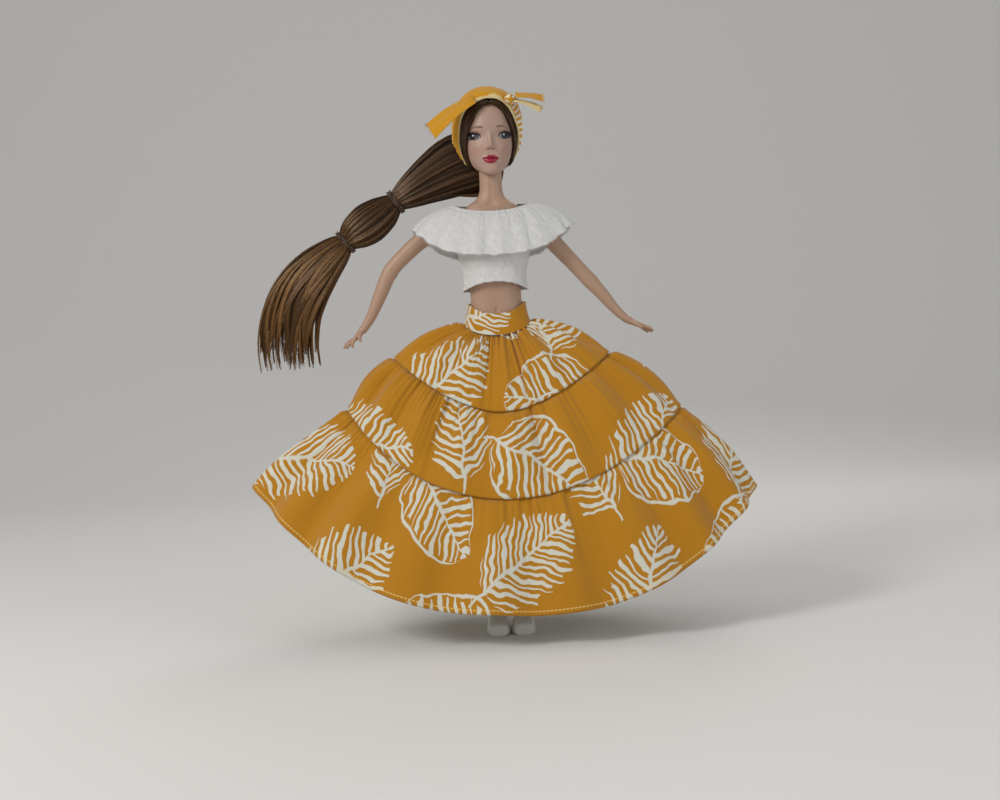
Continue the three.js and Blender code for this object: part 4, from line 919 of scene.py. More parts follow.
EYE_X, EYE_Z, BROW_Z, NOSE_Z, LIP_Z = 8.25, 20.0, 24.6, 15.0, 8.2
LID_HALF, LID_HIGH, LID_LOW = 3.55, 1.85, -1.55
FACE_SHIFT = 0.8


# Rounded hills of the face: height, distance from the middle line, half width, height up, half height
FACE_HILLS = (
    (-0.95, 6.6, 4.0, EYE_Z, 3.1), (0.62, EYE_X, 3.2, EYE_Z - 0.2, 2.2),  # socket and eyeball
    (0.3, EYE_X, 3.7, EYE_Z + 2.9, 0.75), (0.4, 6.5, 4.2, BROW_Z + 0.4, 2.0),  # lid and brow
    (1.15, 0, 1.45, NOSE_Z - 0.1, 1.5), (0.72, 1.85, 0.8, NOSE_Z - 1.0, 1.05),  # tip and wings of the nose
    (-0.55, 1.05, 0.45, NOSE_Z - 2.1, 0.4), (-0.22, 0, 0.7, 11.6, 1.3),  # nostrils and the trough below
    (0.55, 0, 4.6, LIP_Z, 3.6), (0.8, 0, 2.7, LIP_Z - 1.15, 0.95), (-0.3, 4.2, 0.7, LIP_Z, 0.7),  # mouth
    (-0.35, 0, 2.8, 5.1, 0.9), (0.55, 0, 3.2, 2.4, 1.9),  # under the lip, and the chin
    (0.55, 7.6, 3.4, 13.4, 3.6), (-0.3, 10.5, 2.4, 26, 4),  # cheek and temple
)


def face_relief(x, z):
    """Height of the sculpted face over the plain egg; x from the middle, z above the chin."""
    total = 0.6 * bump_curve(x, 0, 1.5) * ease((z - 14) / 4) * ease((27 - z) / 7)
    total = total + 1.3 * bump_curve(x, 0, 1.45) * ease((z - 12.6) / 2.2) * ease((23.5 - z) / 8)
    total = total + 0.72 * hill(x, z + 0.02 * x**2, 0, 3.2, LIP_Z + 1.0, 0.85)
    total = total - 0.5 * np.exp(-((x / 3.8) ** 4) - ((z - LIP_Z - 0.05) / 0.3) ** 2)
    for high, *form in FACE_HILLS:
        total = total + high * hill(np.abs(x), z, *form)
    return total


def face_paint(x, z):
    """Printed make-up, with painted shade and painted highlights: colour with coverage, and gloss, at points of the
    face.
    """
    ax, side = np.abs(x), np.sign(x)
    colour = np.zeros(x.shape + (3,))
    cover = np.zeros(x.shape)
    gloss = np.zeros(x.shape)

    def lay(tone, mask, shine=None):
        nonlocal colour, cover, gloss
        mask = np.clip(mask, 0, 1)
        total = cover + mask - cover * mask
        keep = np.where(total > 0, cover * (1 - mask) / np.maximum(total, 1e-6), 0)[..., None]
        colour = colour * keep + np.array(tone) * (1 - keep)
        cover = total
        if shine is not None:
            gloss = gloss * (1 - mask) + shine * mask

    def edge(distance, soft=0.09):
        return 1 - ease((distance + soft) / (2 * soft))

    # Painted shade over the eye sockets and in the nostrils, and blush on the cheeks and round the nose wings
    for tone, strength, *form in (
        ((0.26, 0.095, 0.075), 0.6, 8.0, 4.0, EYE_Z + 1.4, 1.9), ((0.45, 0.15, 0.12), 0.26, 8.4, 3.2, 12.6, 3.0),
        ((0.45, 0.16, 0.12), 0.3, 1.9, 1.4, NOSE_Z - 1.8, 0.9),
        ((0.16, 0.04, 0.03), 0.75, 1.0, 0.42, NOSE_Z - 2.15, 0.24),
    ):
        lay(tone, strength * hill(ax, z, *form))
    # Eye: u runs from the nose outward, the outer corner a little higher
    u = ax - EYE_X
    v = z - EYE_Z - 0.10 * u
    span = np.clip(1 - (u / LID_HALF) ** 2, 0, 1)
    top = LID_HIGH * span**0.62 - 0.1
    low = LID_LOW * span**0.8
    inside = np.minimum(edge(v - top), edge(low - v)) * (np.abs(u) < 3.6)
    lay((0.30, 0.29, 0.30), inside, 0.3)
    # Painted shade: the whites darken towards the corners of the eye
    lay((0.05, 0.03, 0.03), inside * 0.85 * ease((np.abs(u) - 2.1) / 1.2))
    look = u * side - 0.25
    r = np.hypot(look, v - 0.05)
    rays = 0.5 + 0.5 * np.cos(np.arctan2(v - 0.05, look) * 26)
    iris = inside * edge(r - 2.2)
    light = 1 - ease(r / 2.15)
    tone = np.stack([0.010 + 0.03 * rays * light, 0.010 + 0.032 * rays * light, 0.013 + 0.034 * light], -1)
    colour = mix(colour, tone, np.clip(iris, 0, 1)[..., None])
    lay((0.008, 0.006, 0.008), iris * np.clip(edge(np.abs(r - 2.12) - 0.2) + edge(r - 1.1), 0, 1), 0.3)
    # Painted shadow of the upper lid: the top of the iris is darker
    lay((0.008, 0.008, 0.014), iris * ease((v - 0.75) / 0.8) * 0.85)
    # Painted highlights: a white glint high on the iris and a fainter grey one low on its other side
    lay((1.0, 1.0, 1.0), inside * edge(np.hypot(look + 0.62, v - 0.72) - 0.34, 0.07), 1.0)
    lay((0.7, 0.7, 0.72), inside * 0.4 * edge(np.hypot(look - 0.6, v + 0.75) - 0.22, 0.07), 1.0)
    # Liner and lashes
    liner = edge(np.abs(v - top - 0.16) - (0.54 + 0.42 * ease((u + 1) / 4.5))) * (np.abs(u) < 3.62)
    wing = edge(np.abs(v - 0.1 - 0.42 * (u - 3.1)) - 0.38 * ease((5.3 - u) / 1.9)) * (u > 2.9) * (u < 5.3)
    under = 0.9 * edge(np.abs(v - low) - (0.13 + 0.17 * ease(u / 3.2))) * (np.abs(u) < 3.5)
    lay((0.012, 0.008, 0.008), np.maximum(np.maximum(liner, wing), under), 0.45)
    lay((0.16, 0.07, 0.05), 0.55 * edge(np.abs(v - top - 1.05 + 0.05 * u) - 0.1) * (np.abs(u) < 3.3))
    for k in range(15):
        root = -2.9 + 6.2 * k / 14
        root_v = LID_HIGH * max(1 - (root / LID_HALF) ** 2, 0) ** 0.62
        t = (v - root_v) / (0.85 + 0.85 * k / 14)
        reach = root + (0.22 * root + 0.12) * t * (0.6 + 0.5 * t)
        hair_wide = 0.11 * (1 - 0.75 * np.clip(t, 0, 1))
        lay((0.01, 0.008, 0.008), edge(np.abs(u - reach) - hair_wide, 0.06) * (t > -0.1) * (t < 1), 0.4)
    for k in range(9):
        root = -1.9 + 5.1 * k / 8
        t = (LID_LOW * max(1 - (root / LID_HALF) ** 2, 0) ** 0.8 - v) / 0.62
        hair_wide = 0.07 * (1 - 0.7 * np.clip(t, 0, 1))
        short = edge(np.abs(u - root - 0.3 * root * 0.3 * t) - hair_wide, 0.05)
        lay((0.02, 0.012, 0.012), 0.7 * short * (t > -0.1) * (t < 1))
    # Brow: fine hairs in a thin arch
    b = ax - 3.3
    arch = BROW_Z + 0.24 * b - 0.034 * b**2 - 0.1
    thin = 0.5 * ease(b / 0.8) * ease((7.4 - b) / 5.4) + 0.07
    hairs = 0.72 + 0.28 * np.sin((b * 1.9 - (z - arch) * 1.5) * 9)
    lay((0.10, 0.042, 0.026), hairs * edge(np.abs(z - arch) - thin, 0.14) * (b > 0) * (b < 7.4))
    # Lips with a cupid's bow
    half = 4.75
    w = np.clip(1 - (x / half) ** 2, 0, 1)
    bow = 1.95 * w**1.15 - 0.42 * bump_curve(x, 0, 0.75) - 0.25 * (1 - w)
    centre = LIP_Z + 0.06 * np.cos(x * 1.4)
    mouth = np.minimum(edge(z - centre - bow, 0.1), edge(centre - 2.7 * w**1.15 - z, 0.1)) * (ax < half)
    rich = 0.75 + 0.25 * np.sin(x * 7.5) * np.sin(z * 1.2)
    lay((0.29, 0.010, 0.032), mouth, 0.75)
    # Painted highlight: the middle of the lower lip is lighter
    lay((0.46, 0.03, 0.08), 0.5 * mouth * hill(x, z - centre, 0, 1.9, -1.05, 0.55) * rich)
    # Painted shade: a dark line in the groove where the lips meet
    lay((0.10, 0.0, 0.01), 0.9 * mouth * edge(np.abs(z - centre - 0.03 * np.cos(x * 2)) - 0.12, 0.12))
    return colour, cover, gloss


def head_directions():
    """Directions from the head's centre: close together over the face, wider over the skull."""
    front, half = -math.pi / 2, math.radians(66)
    face = front + np.linspace(-1, 1, 240) * half
    azimuth = np.concatenate([face, np.linspace(front + half, front + TAU - half, 82)[1:-1]])
    bands = ((0.001, 0.9, 40), (0.9, 2.62, 225), (2.62, math.pi - 0.001, 30))
    down = np.concatenate([np.linspace(*band)[k > 0:] for k, band in enumerate(bands)])
    a, d = np.meshgrid(azimuth, down, indexing="ij")
    return np.stack([np.sin(d) * np.cos(a), np.sin(d) * np.sin(a), np.cos(d)], -1)


def point_layer(piece, name, values):
    """Four values for each vertex."""
    layer = piece.data.color_attributes.new(name, "FLOAT_COLOR", "POINT")
    layer.data.foreach_set("color", values.astype(np.float32).ravel())


direction = head_directions()
face = head_reach(direction)
rise = face[..., 2] - HEAD_BASE
facing = ease((-face[..., 1] - 2.0) / 4.5)
relief = face_relief(face[..., 0] + FACE_SHIFT, rise) * facing
ears = 0.45 * hill(face[..., 1], rise, 1.5, 2.3, 17.5, 4.0) - 0.4 * hill(face[..., 1], rise, 1.2, 1.1, 18.2, 2.4)
ears = ears * (np.abs(face[..., 0]) > 8)
push = np.stack([direction[..., 0] * 0.45, np.where(direction[..., 1] < 0, -1, 0.3), direction[..., 2] * 0.35], -1)
sculpt = face + unit(push) * relief[..., None] + direction * ears[..., None]
head = faces_outward(grid_mesh("head_vinyl", yawed(sculpt), wrap=True, cap_ends=True))
tone, cover, shine = face_paint(face[..., 0] + FACE_SHIFT, rise)
cover = cover * facing * (face[..., 1] < -3)
point_layer(head, "paint", np.concatenate([tone, cover[..., None]], -1))
point_layer(head, "gloss", np.repeat((shine * facing)[..., None], 4, -1))
neck_hole = turned_x("cutter", [(-8, 0), (-8, 6.6), (2.75, 6.6), (2.75, 0)], 0.0, 64)
neck_hole.data.transform(Matrix.Translation((0, 0, HEAD_BASE * MM)) @ Matrix.Rotation(-math.pi / 2, 4, "Y"))
carve(head, [neck_hole])
discard([neck_hole])
paint_with(head, vinyl, "head", "head_shell")


# Printed cotton: mustard with line-drawn fronds

MUSTARD, CREAM = (0.475, 0.208, 0.006), (0.66, 0.66, 0.57)
PRINT_U, PRINT_V = 0.172, 0.130
LEAF_LABELS = ("X", "Y", "Turn", "Length", "Half", "Count", "Slant", "Duty", "Bend", "Rim")
# Each leaf: middle (u, v), turn in degrees, length, half width share, count, slant, duty, bend, rim
LEAVES = (
    (0.032, 0.034, 58, 0.066, 0.40, 13, 0.62, 0.27, 0.25, 0),
    (0.094, 0.022, 158, 0.056, 0.45, 11, 0.45, 0.24, -0.3, 1),
    (0.140, 0.066, 32, 0.070, 0.38, 14, 0.75, 0.28, 0.2, 0),
    (0.078, 0.086, -38, 0.062, 0.42, 12, 0.55, 0.25, 0.35, 1),
    (0.024, 0.104, 112, 0.052, 0.44, 11, 0.5, 0.26, -0.2, 0),
)


def frond_group():
    """A node group that answers 1 on the drawn lines of one leaf, repeated over the cloth."""
    group = bpy.data.node_groups.new("frond", "ShaderNodeTree")
    labels = ("U", "V") + LEAF_LABELS
    for label in labels:
        group.interface.new_socket(name=label, in_out="INPUT", socket_type="NodeSocketFloat")
    group.interface.new_socket(name="Mask", in_out="OUTPUT", socket_type="NodeSocketFloat")
    source = group.nodes.new("NodeGroupInput")
    u, v, x, y, turn, length, half, count, slant, duty, bend, rim = (Field(source.outputs[k]) for k in labels)
    du = maths("WRAP", u - x, PRINT_U / 2, -PRINT_U / 2)
    dv = maths("WRAP", v - y, PRINT_V / 2, -PRINT_V / 2)
    c, s = maths("COSINE", turn), maths("SINE", turn)
    p = (du * c + dv * s) / length + 0.5
    q = (dv * c - du * s) / length + bend * (p - 0.5) ** 2.0
    aside = abs(q)
    room = maths("MAXIMUM", p * 4.0 * (1.0 - p), 0.0001)
    width = half * room**0.55 * (1.12 - p * 0.42)
    t = aside / maths("MAXIMUM", width, 0.0001)
    # Leaflets run from the rib towards the tip and curl as they near the edge
    beat = (p - (aside * slant + t**2.0 * 0.035)) * count + (q > 0.0) * 0.45
    phase = abs(maths("FRACT", beat) - 0.5)
    uneven = maths("SINE", maths("FLOOR", beat) * 2.4) * 0.09
    drawn = duty * (0.72 + t * (1.0 - t * 1.25)) + uneven
    inside = (t < 0.93 + maths("SINE", beat * 3.1) * 0.06) * (room > 0.02)
    stripe = soft_step(phase, drawn + 0.03, drawn - 0.03) * inside
    rib = soft_step(aside, 0.030 - p * 0.022, 0.006) * (room > 0.01)
    stalk = (aside < 0.012) * ((p > -0.14) * (p < 0.1))
    outline = soft_step(abs(t - 1.0), 0.06, 0.03) * (rim * (room > 0.03))
    mask = maths("MAXIMUM", maths("MAXIMUM", stripe, rib), maths("MAXIMUM", stalk, outline))
    feed(group.nodes.new("NodeGroupOutput").inputs["Mask"], mask)
    return group


FROND = frond_group()


def worn_ground(uv, threads, colour, scale, fade, shade, thread_share, thread_colour):
    """Dyed cloth that is darker in patches and paler on its threads."""
    ground = blend_colour(noise(uv, scale, 3) * fade, colour, tinted(colour, *shade))
    return blend_colour(threads * thread_share, ground, thread_colour)


def printed_cotton(name, shift_u, shift_v, size=1.0, hem=None, wrong_side=False):
    """The print with its weave; hem is how far above the edge the stitching runs, in metres."""
    material, shader, uv, threads, height = cloth_base(name, MUSTARD, 0.82, "print")
    along, up = split_uv(uv)
    shake_u, shake_v = ((noise(uv, 85.0, 1.5, shift=seed) - 0.5) * 0.0085 for seed in (1.7, 5.3))
    u = (along + shift_u + shake_u) * (1 / size)
    v = (up + shift_v + shake_v) * (1 / size)
    mask = None
    for x, y, degrees, *others in LEAVES:
        values = (x, y, math.radians(degrees), *others)
        inputs = (("U", u), ("V", v), *zip(LEAF_LABELS, values))
        leaf = node_field(uv.tree, "ShaderNodeGroup", 0, inputs=inputs, node_tree=FROND)
        mask = leaf if mask is None else maths("MAXIMUM", mask, leaf)
    thread = soft_step(threads, -0.6, 0.9)
    ground = worn_ground(uv, thread, MUSTARD, 55.0, 0.55, (0.86, 0.78, 0.7), 0.16, (0.66, 0.33, 0.03))
    colour = blend_colour(mask, ground, blend_colour(thread * 0.2, CREAM, (0.60, 0.52, 0.34)))
    if wrong_side:
        colour = blend_colour(0.82, colour, CREAM)
    if hem is not None:
        line = soft_step(abs(up - hem), 0.00042, 0.00018)
        stitch = line * soft_step(maths("FRACT", along / 0.0021), 0.24, 0.3)
        colour = blend_colour(stitch * 0.8, colour, (0.80, 0.55, 0.2))
        height = height - line * 1.3 + stitch * 0.9
    back = node_field(uv.tree, "ShaderNodeNewGeometry", "Backfacing")
    feed(shader["Base Color"], blend_colour(back * 0.5, colour, CREAM))
    bump(shader, height, 0.00016, 0.55)
    return material


# Skirt: a waistband and three gathered tiers

TIER_EDGES = (0.0, 0.3, 0.61, 1.0)
TIER_FOLDS = (13, 17, 19)
TIER_DEPTH = (1.6, 2.2, 2.8)
FOLD_TURN = math.radians(286)


def tier_folds(tier, angle, down):
    """How far the gathered cloth stands off the skirt's cone: pinched under its seam, loose below."""
    count, depth = TIER_FOLDS[tier], TIER_DEPTH[tier]
    drift = 0.05 * np.sin(3 * angle + tier) + 0.03 * np.sin(7 * angle + 2.1 * tier)
    fill = ease(down * 1.4) if tier == 2 else np.sin(math.pi * np.minimum(down * 1.1, 1)) ** 0.8
    broad = np.cos(count * (angle + 0.4 * drift)) + 0.35 * np.cos(count // 2 * angle + tier)
    total = depth * broad * mix(0.25, 1, fill)
    local = np.random.default_rng(40 + tier)
    for k in range(4):
        n = int(count * (2.6 + 1.9 * k)) + tier
        phase = local.uniform(0, TAU)
        reach = local.uniform(1.5, 3.4)
        ridge = 1 - np.abs(np.sin(0.5 * n * (angle + drift * (1 + 0.2 * k)) + phase)) * 2
        modulate = 0.55 + 0.45 * np.sin((2 + k) * angle + phase * 2)
        total = total + ridge * modulate * np.exp(-down * reach) * 1.05 / (1 + 0.35 * k)
    deep_fold = 1.8 * bump_curve(angle, FOLD_TURN + 0.05, 0.035) - 1.6 * bump_curve(angle, FOLD_TURN, 0.03)
    total = total + deep_fold * (1, 1, 0.35 * (1 - ease(down * 2)))[tier]
    crease = wave_noise(angle * 14, down * 2.2, 1.6, 3, 60 + tier)
    return total + 0.5 * crease * ease(down * 3) - 0.35 * np.exp(-down * 5.0)


def tier_grid(tier, columns, rows):
    angle, down = turn_grid(columns, rows, 0.5)
    down = down**1.15
    start = 0.004 if tier == 0 else TIER_EDGES[tier] - 0.012
    share = mix(start, TIER_EDGES[tier + 1], down)
    step = 0.004
    ahead = skirt_points(angle + step, share) - skirt_points(angle - step, share)
    below = skirt_points(angle, np.minimum(share + step, 1)) - skirt_points(angle, np.maximum(share - step, 0))
    proud = tier_folds(tier, angle, down) + 1.6 * np.sin(math.pi * down) + 0.8
    if tier:
        tuck = 1 - ease((share - TIER_EDGES[tier] + 0.004) / 0.03)
        under = tier_folds(tier - 1, angle, np.ones_like(down)) - 0.9
        proud = mix(proud, np.minimum(under, proud), tuck)
    else:
        proud = proud - 0.9 * (1 - ease(down / 0.08))
    hem_roll = 0.25 * bump_curve(down, 0.988, 0.01) - 0.3 * ease((down - 0.985) / 0.015)
    return skirt_points(angle, share) + unit(np.cross(below, ahead)) * (proud + hem_roll)[..., None]


TIERS = (
    ("upper", 560, 64, (0.013, 0.021), "skirt_waistband"), ("middle", 640, 60, (0.052, 0.071), "skirt_upper_tier"),
    ("lower", 720, 62, (0.097, 0.033), "skirt_middle_tier"),
)
for tier, (word, columns, rows, place, above) in enumerate(TIERS):
    grid = tier_grid(tier, columns, rows)
    uv, _, tall = run_uv(grid, True)
    piece = grid_mesh(f"skirt_{word}_tier_cloth", grid, wrap=True, uv=uv)
    hem = 0.0024 if tier == 2 else None
    for side, wrong in ((" wrong side", True), ("", False)):
        piece.data.materials.append(printed_cotton(f"printed cotton {word}{side}", *place, 1.0, hem, wrong))
    thickening = solidify(piece, 0.45)
    thickening.material_offset = thickening.material_offset_rim = 1
    apply_all(piece)
    if tier == 0:
        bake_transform(piece)
    else:
        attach(piece, "hips")
    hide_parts(f"skirt_{word}_tier")
    round(uv[-2, 0, 0] * 0.9, 3)

# The waistband is fitted round the body between two edges
BAND_HIGH = 11.5
angle, share = turn_grid(260, 34)
z = mix(waist_edge(angle), waist_edge(angle) - BAND_HIGH, share)
wave = 0.12 * wave_noise(np.cos(angle) * 3 + np.sin(angle) * 2, share * 2.0 + 0 * angle, 2.2, 3, 3)
grid = torso_points(angle, z)
grid = grid + unit(grid * np.array([1.0, 1.5, 0.0])) * (LAYER + CLOTH + wave)[..., None]
run = run_along(grid[:, 17])
fall = waist_edge(angle) - z
uv = np.stack([np.broadcast_to(run[:, None], z.shape), fall.max() - fall], -1) * MM
long = (run[-1] + run[1]) * MM
band = grid_mesh("skirt_waistband_cloth", grid, wrap=True, uv=closed_uv(uv, long))
solidify(band, 0.6)
apply_all(band)
cotton = printed_cotton("printed cotton waistband", 0.061, 0.047, size=0.8)
paint_with(band, cotton, "torso", "skirt_waistband")


# White top: a tube over the bust and a wide gathered collar with raw edges


def white_cloth(name, tint):
    """Soft crinkled cotton: raised sprigs and dashes in rows over a fine weave, with painted shade that darkens its
    low parts.
    """
    material, shader, uv, _, height = cloth_base(name, tint, 0.88, "white", fuzz=0.35)
    crinkle = noise(uv, 420.0, 4, 0.62)
    cells = node_field(uv.tree, "ShaderNodeTexVoronoi", "Distance", uv, (("Scale", 330.0),), feature="SMOOTH_F1")
    form = (("Scale", 95.0), ("Distortion", 9.0), ("Detail", 2.0))
    veins = node_field(uv.tree, "ShaderNodeTexWave", 1, uv, form, wave_type="BANDS", bands_direction="DIAGONAL")
    total = height + crinkle * 1.5 + (soft_step(cells, 0.46, 0.18) * 0.55 + veins * 0.5)
    # Painted shade: the colour is darker where the crinkle, sprigs and weave are low
    feed(shader["Base Color"], blend_colour(soft_step(total, 0.7, 2.3), tinted(tint, 0.9, 0.9, 0.9), tint))
    bump(shader, total, 0.00032, 0.75)
    return material


def fringe(name, edge, outward, down, count, length, seed, thick=0.055, wrap=True, wild=0.5):
    """Loose thread ends along a raw edge."""
    local = np.random.default_rng(seed)
    total = len(edge)
    paths, radii = [], []
    t = np.linspace(0, 1, 5)[:, None]
    for _ in range(count):
        at = local.uniform(0, total - (0 if wrap else 1))
        i = int(at) % total
        n = (i + 1) % total if wrap else min(i + 1, total - 1)
        start = mix(edge[i], edge[n], at % 1)
        along = unit(edge[n] - edge[i] + 1e-9)
        aim = down[i] * local.uniform(0.6, 1.2) + outward[i] * local.normal(0.1, wild)
        aim = unit(aim + along * local.normal(0, wild))
        curl = along * local.normal(0, 0.5) + outward[i] * local.normal(0, 0.4)
        reach = length * local.uniform(0.35, 1.1)
        paths.append(start - aim * 0.25 + aim * reach * t + curl * reach * 0.35 * t**2)
        radii.append(np.linspace(thick, thick * 0.35, 5))
    return tubes(name, paths, radii)


white = white_cloth("white crinkled cotton", (0.76, 0.755, 0.74))
white_thread = thread_material("white thread", (0.78, 0.775, 0.76))
ARM_R = 5.2
angle, drop = turn_grid(420, 110)
low = HIP + 36 + 4.6 * np.maximum(0, -np.sin(angle)) ** 2
low = low + 0.22 * wave_noise(np.cos(angle) * 9, np.sin(angle) * 9, 2.2, 3, 11)
z = mix(HIP + 76, low, drop)
hang = 1 - ease(np.clip((z - HIP - 36) / 40, 0, 1) * 1.8)
limits = zip(torso_at(z), (16.8, 13.72, 11.42))
x, y = oval(angle, *(np.maximum(body + LAYER, mix(body, hem, hang)) + 0.75 for body, hem in limits), 2.3)
tube = np.stack([x, y, z], -1)
away = tube * np.array([1.0, 1.4, 0.0])
puckers = 0.16 * wave_noise(np.cos(angle) * 10 + drop * 2, np.sin(angle) * 10, 1.6, 4, 12)
sag = 0.12 * np.sin(angle * 34 + 5 * np.sin(angle * 3)) * ease((0.45 - drop) / 0.3)
flare = 0.35 * ease((drop - 0.93) / 0.07)
tube = tube + unit(away) * (puckers + sag + flare)[..., None]
uv, long, tall = run_uv(tube, True)
bodice = shell("bodice_cloth", tube, grid_normals(tube, True, away), 0.55, True, uv)
near, far, wide = 9.96, 26.5, ARM_R + 2.4
profile = ((near, 0), (near, wide), (far, wide), (far, 0))
holes = [turned_x("cutter", [(way * x, r) for x, r in profile], SHOULDER + 1.2) for way in (1, -1)]
bodice.data.materials.append(white)
carve(bodice, holes)
discard(holes)
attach(bodice, "torso")
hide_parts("bodice")
down = np.broadcast_to(np.array([0, 0, -1.0]), away[:, -1].shape)
bodice_fringe = fringe("bodice_fringe", tube[:, -1], unit(away[:, -1]), down, 420, 0.9, 21)
bodice_fringe.data.materials.append(white_thread)
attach(bodice_fringe, "torso")


def collar_grid(columns, rows):
    angle, share = turn_grid(columns, rows)
    share = share**1.1
    ragged = 0.28 * wave_noise(np.cos(angle) * 12, np.sin(angle) * 12, 2.4, 3, 31) / 27
    points = collar_points(angle, share * (1 + ragged))
    neck_x, neck_y = oval(angle, *COLLAR_NECK)
    hem_x, hem_y = oval(angle, *COLLAR_HEM)
    outward = unit(np.stack([hem_x - neck_x, hem_y - neck_y, np.zeros_like(hem_x)], -1))
    drift = 0.06 * np.sin(5 * angle + 1) + 0.04 * np.sin(11 * angle)
    folds = 0.75 * np.sin(20 * (angle + 0.5 * drift)) * share
    local = np.random.default_rng(51)
    gathers = np.zeros_like(folds)
    for k, (n, high) in enumerate(((46, 0.22), (63, 0.17), (88, 0.14), (121, 0.1))):
        phase = local.uniform(0, TAU)
        ridge = 1 - 2 * np.abs(np.sin(0.5 * n * (angle + drift) + phase))
        gathers = gathers + ridge * (0.5 + 0.5 * np.sin((3 + k) * angle + phase)) * high
    fade = mix(0.5, 1.0, ease(share / 0.06)) * np.exp(-share * 2.1)
    soft = 0.42 * wave_noise(np.cos(angle) * 9 + share, np.sin(angle) * 9 + share * 2, 1.9, 4, 52)
    casing = 0.4 * bump_curve(share, 0.035, 0.03) - 0.35 * bump_curve(share, 0.1, 0.025)
    lift = unit(outward + np.array([0, 0, 0.75]))
    rise = 0.75 + gathers * fade + soft * ease(share * 4) + casing
    return points + outward * (folds * 0.85)[..., None] + lift * rise[..., None], lift


def cut_part(name, source, planes):
    """The part of a cloth between upright planes, shaded as the whole cloth is."""
    piece = in_scene(name, source.data.copy())
    work = bmesh.new()
    work.from_mesh(piece.data)
    for x, keep in planes:
        geometry = work.verts[:] + work.edges[:] + work.faces[:]
        place, way = (x * MM, 0, 0), (-keep, 0, 0)
        bmesh.ops.bisect_plane(work, geom=geometry, plane_co=place, plane_no=way, clear_outer=True)
        fill_holes(work)
    split_wide_faces(work)
    from_bmesh(name, work, piece.data)
    transfer = piece.modifiers.new("shading", "DATA_TRANSFER")
    transfer.object = source
    transfer.use_loop_data = True
    transfer.data_types_loops = {"CUSTOM_NORMAL"}
    transfer.loop_mapping = "POLYINTERP_NEAREST"
    return apply_all(piece)


collar, lift = collar_grid(760, 60)
whole = shell("collar_whole", collar, grid_normals(collar, True, lift), 0.5, True, run_uv(collar, True)[0])
whole.data.materials.append(white)
CUT = 22.1
PARTS = (
    ("collar_cloth_left", ((0, 1), (CUT, -1)), ("torso", "left_shoulder"), (3, CUT), "ruffle_collar"),
    ("collar_cloth_right", ((0, -1), (-CUT, 1)), ("torso", "right_shoulder"), (-3, -CUT), "ruffle_collar"),
    ("cap_cloth_left", ((CUT, 1),), ("left_shoulder", "left_arm"), (CUT, 38), "left_ruffle_cap"),
    ("cap_cloth_right", ((-CUT, -1),), ("right_shoulder", "right_arm"), (-CUT, -38), "right_ruffle_cap"),
)
hem, out = collar[:, -1], unit(lift[:, -1] * np.array([1, 1, 0.2]))
thread_ends = fringe("collar_threads", hem, out, unit(hem - collar[:, -4]), 1500, 1.5, 22)
thread_ends.data.materials.append(white_thread)
for name, planes, bodies, (first, last), node in PARTS:
    piece = cut_part(name, whole, planes)
    loose = cut_part(name.replace("cloth", "threads"), thread_ends, planes)
    for item in (piece, loose):
        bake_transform(item)
    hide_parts(node)
    middle = node == "ruffle_collar"
discard([whole, thread_ends])


# Hair: combed from a centre parting, drawn behind the neck into a long banded tail

DARK, WARM, GOLD = (0.012, 0.006, 0.003), (0.056, 0.025, 0.011), (0.25, 0.125, 0.042)


def hair_material(name, gold):
    """Fine fibres: colour varies from strand to strand, is darker where the tone layer holds painted shade, and
    lightens towards the ends.
    """
    material, shader = node_material(
        name, WARM, Anisotropic=0.6, Specular_IOR_Level=0.42, Specular_Tint=(1.0, 0.72, 0.5, 1)
    )
    split = add_node(material.node_tree, "ShaderNodeSeparateColor")
    feed(split.inputs[0], painted_layer(material, "tone", "Color"))
    tone, golden = Field(split.outputs[0]), Field(split.outputs[1])
    fibre = noise(place_of(material), 700.0, 4, 0.7)
    base = blend_colour(maths("ADD", tone, (fibre - 0.5) * 0.5, clamp=True), DARK, WARM)
    light = maths("MULTIPLY", golden, gold, clamp=True)
    feed(shader["Base Color"], blend_colour(light, base, GOLD))
    feed(shader["Roughness"], 0.26 + fibre * 0.2)
    bump(shader, fibre, 0.00008, 0.5)
    return material


def tone_layer(piece, first, second):
    """Strand tone and golden share for each vertex; on the cap and the tail's body the tone also holds painted
    shade.
    """
    values = np.zeros((len(piece.data.vertices), 4))
    values[:, 0], values[:, 1], values[:, 3] = first, second, 1
    point_layer(piece, "tone", values)


hair = hair_material("rooted hair", 0.25)
tail_hair = hair_material("tail hair", 0.8)


def hairline(angle):
    forward = np.clip((-np.sin(angle) - 0.02) / 0.98, 0, 1)
    return 0.16 + 0.72 * forward**1.1


def turn_between(first, second, share):
    """Great-circle steps between unit vectors."""
    dot = np.clip((first * second).sum(-1), -1, 1)
    whole = np.maximum(np.arccos(dot), 1e-6)[..., None]
    return (first * np.sin((1 - share) * whole) + second * np.sin(share * whole)) / np.sin(whole)


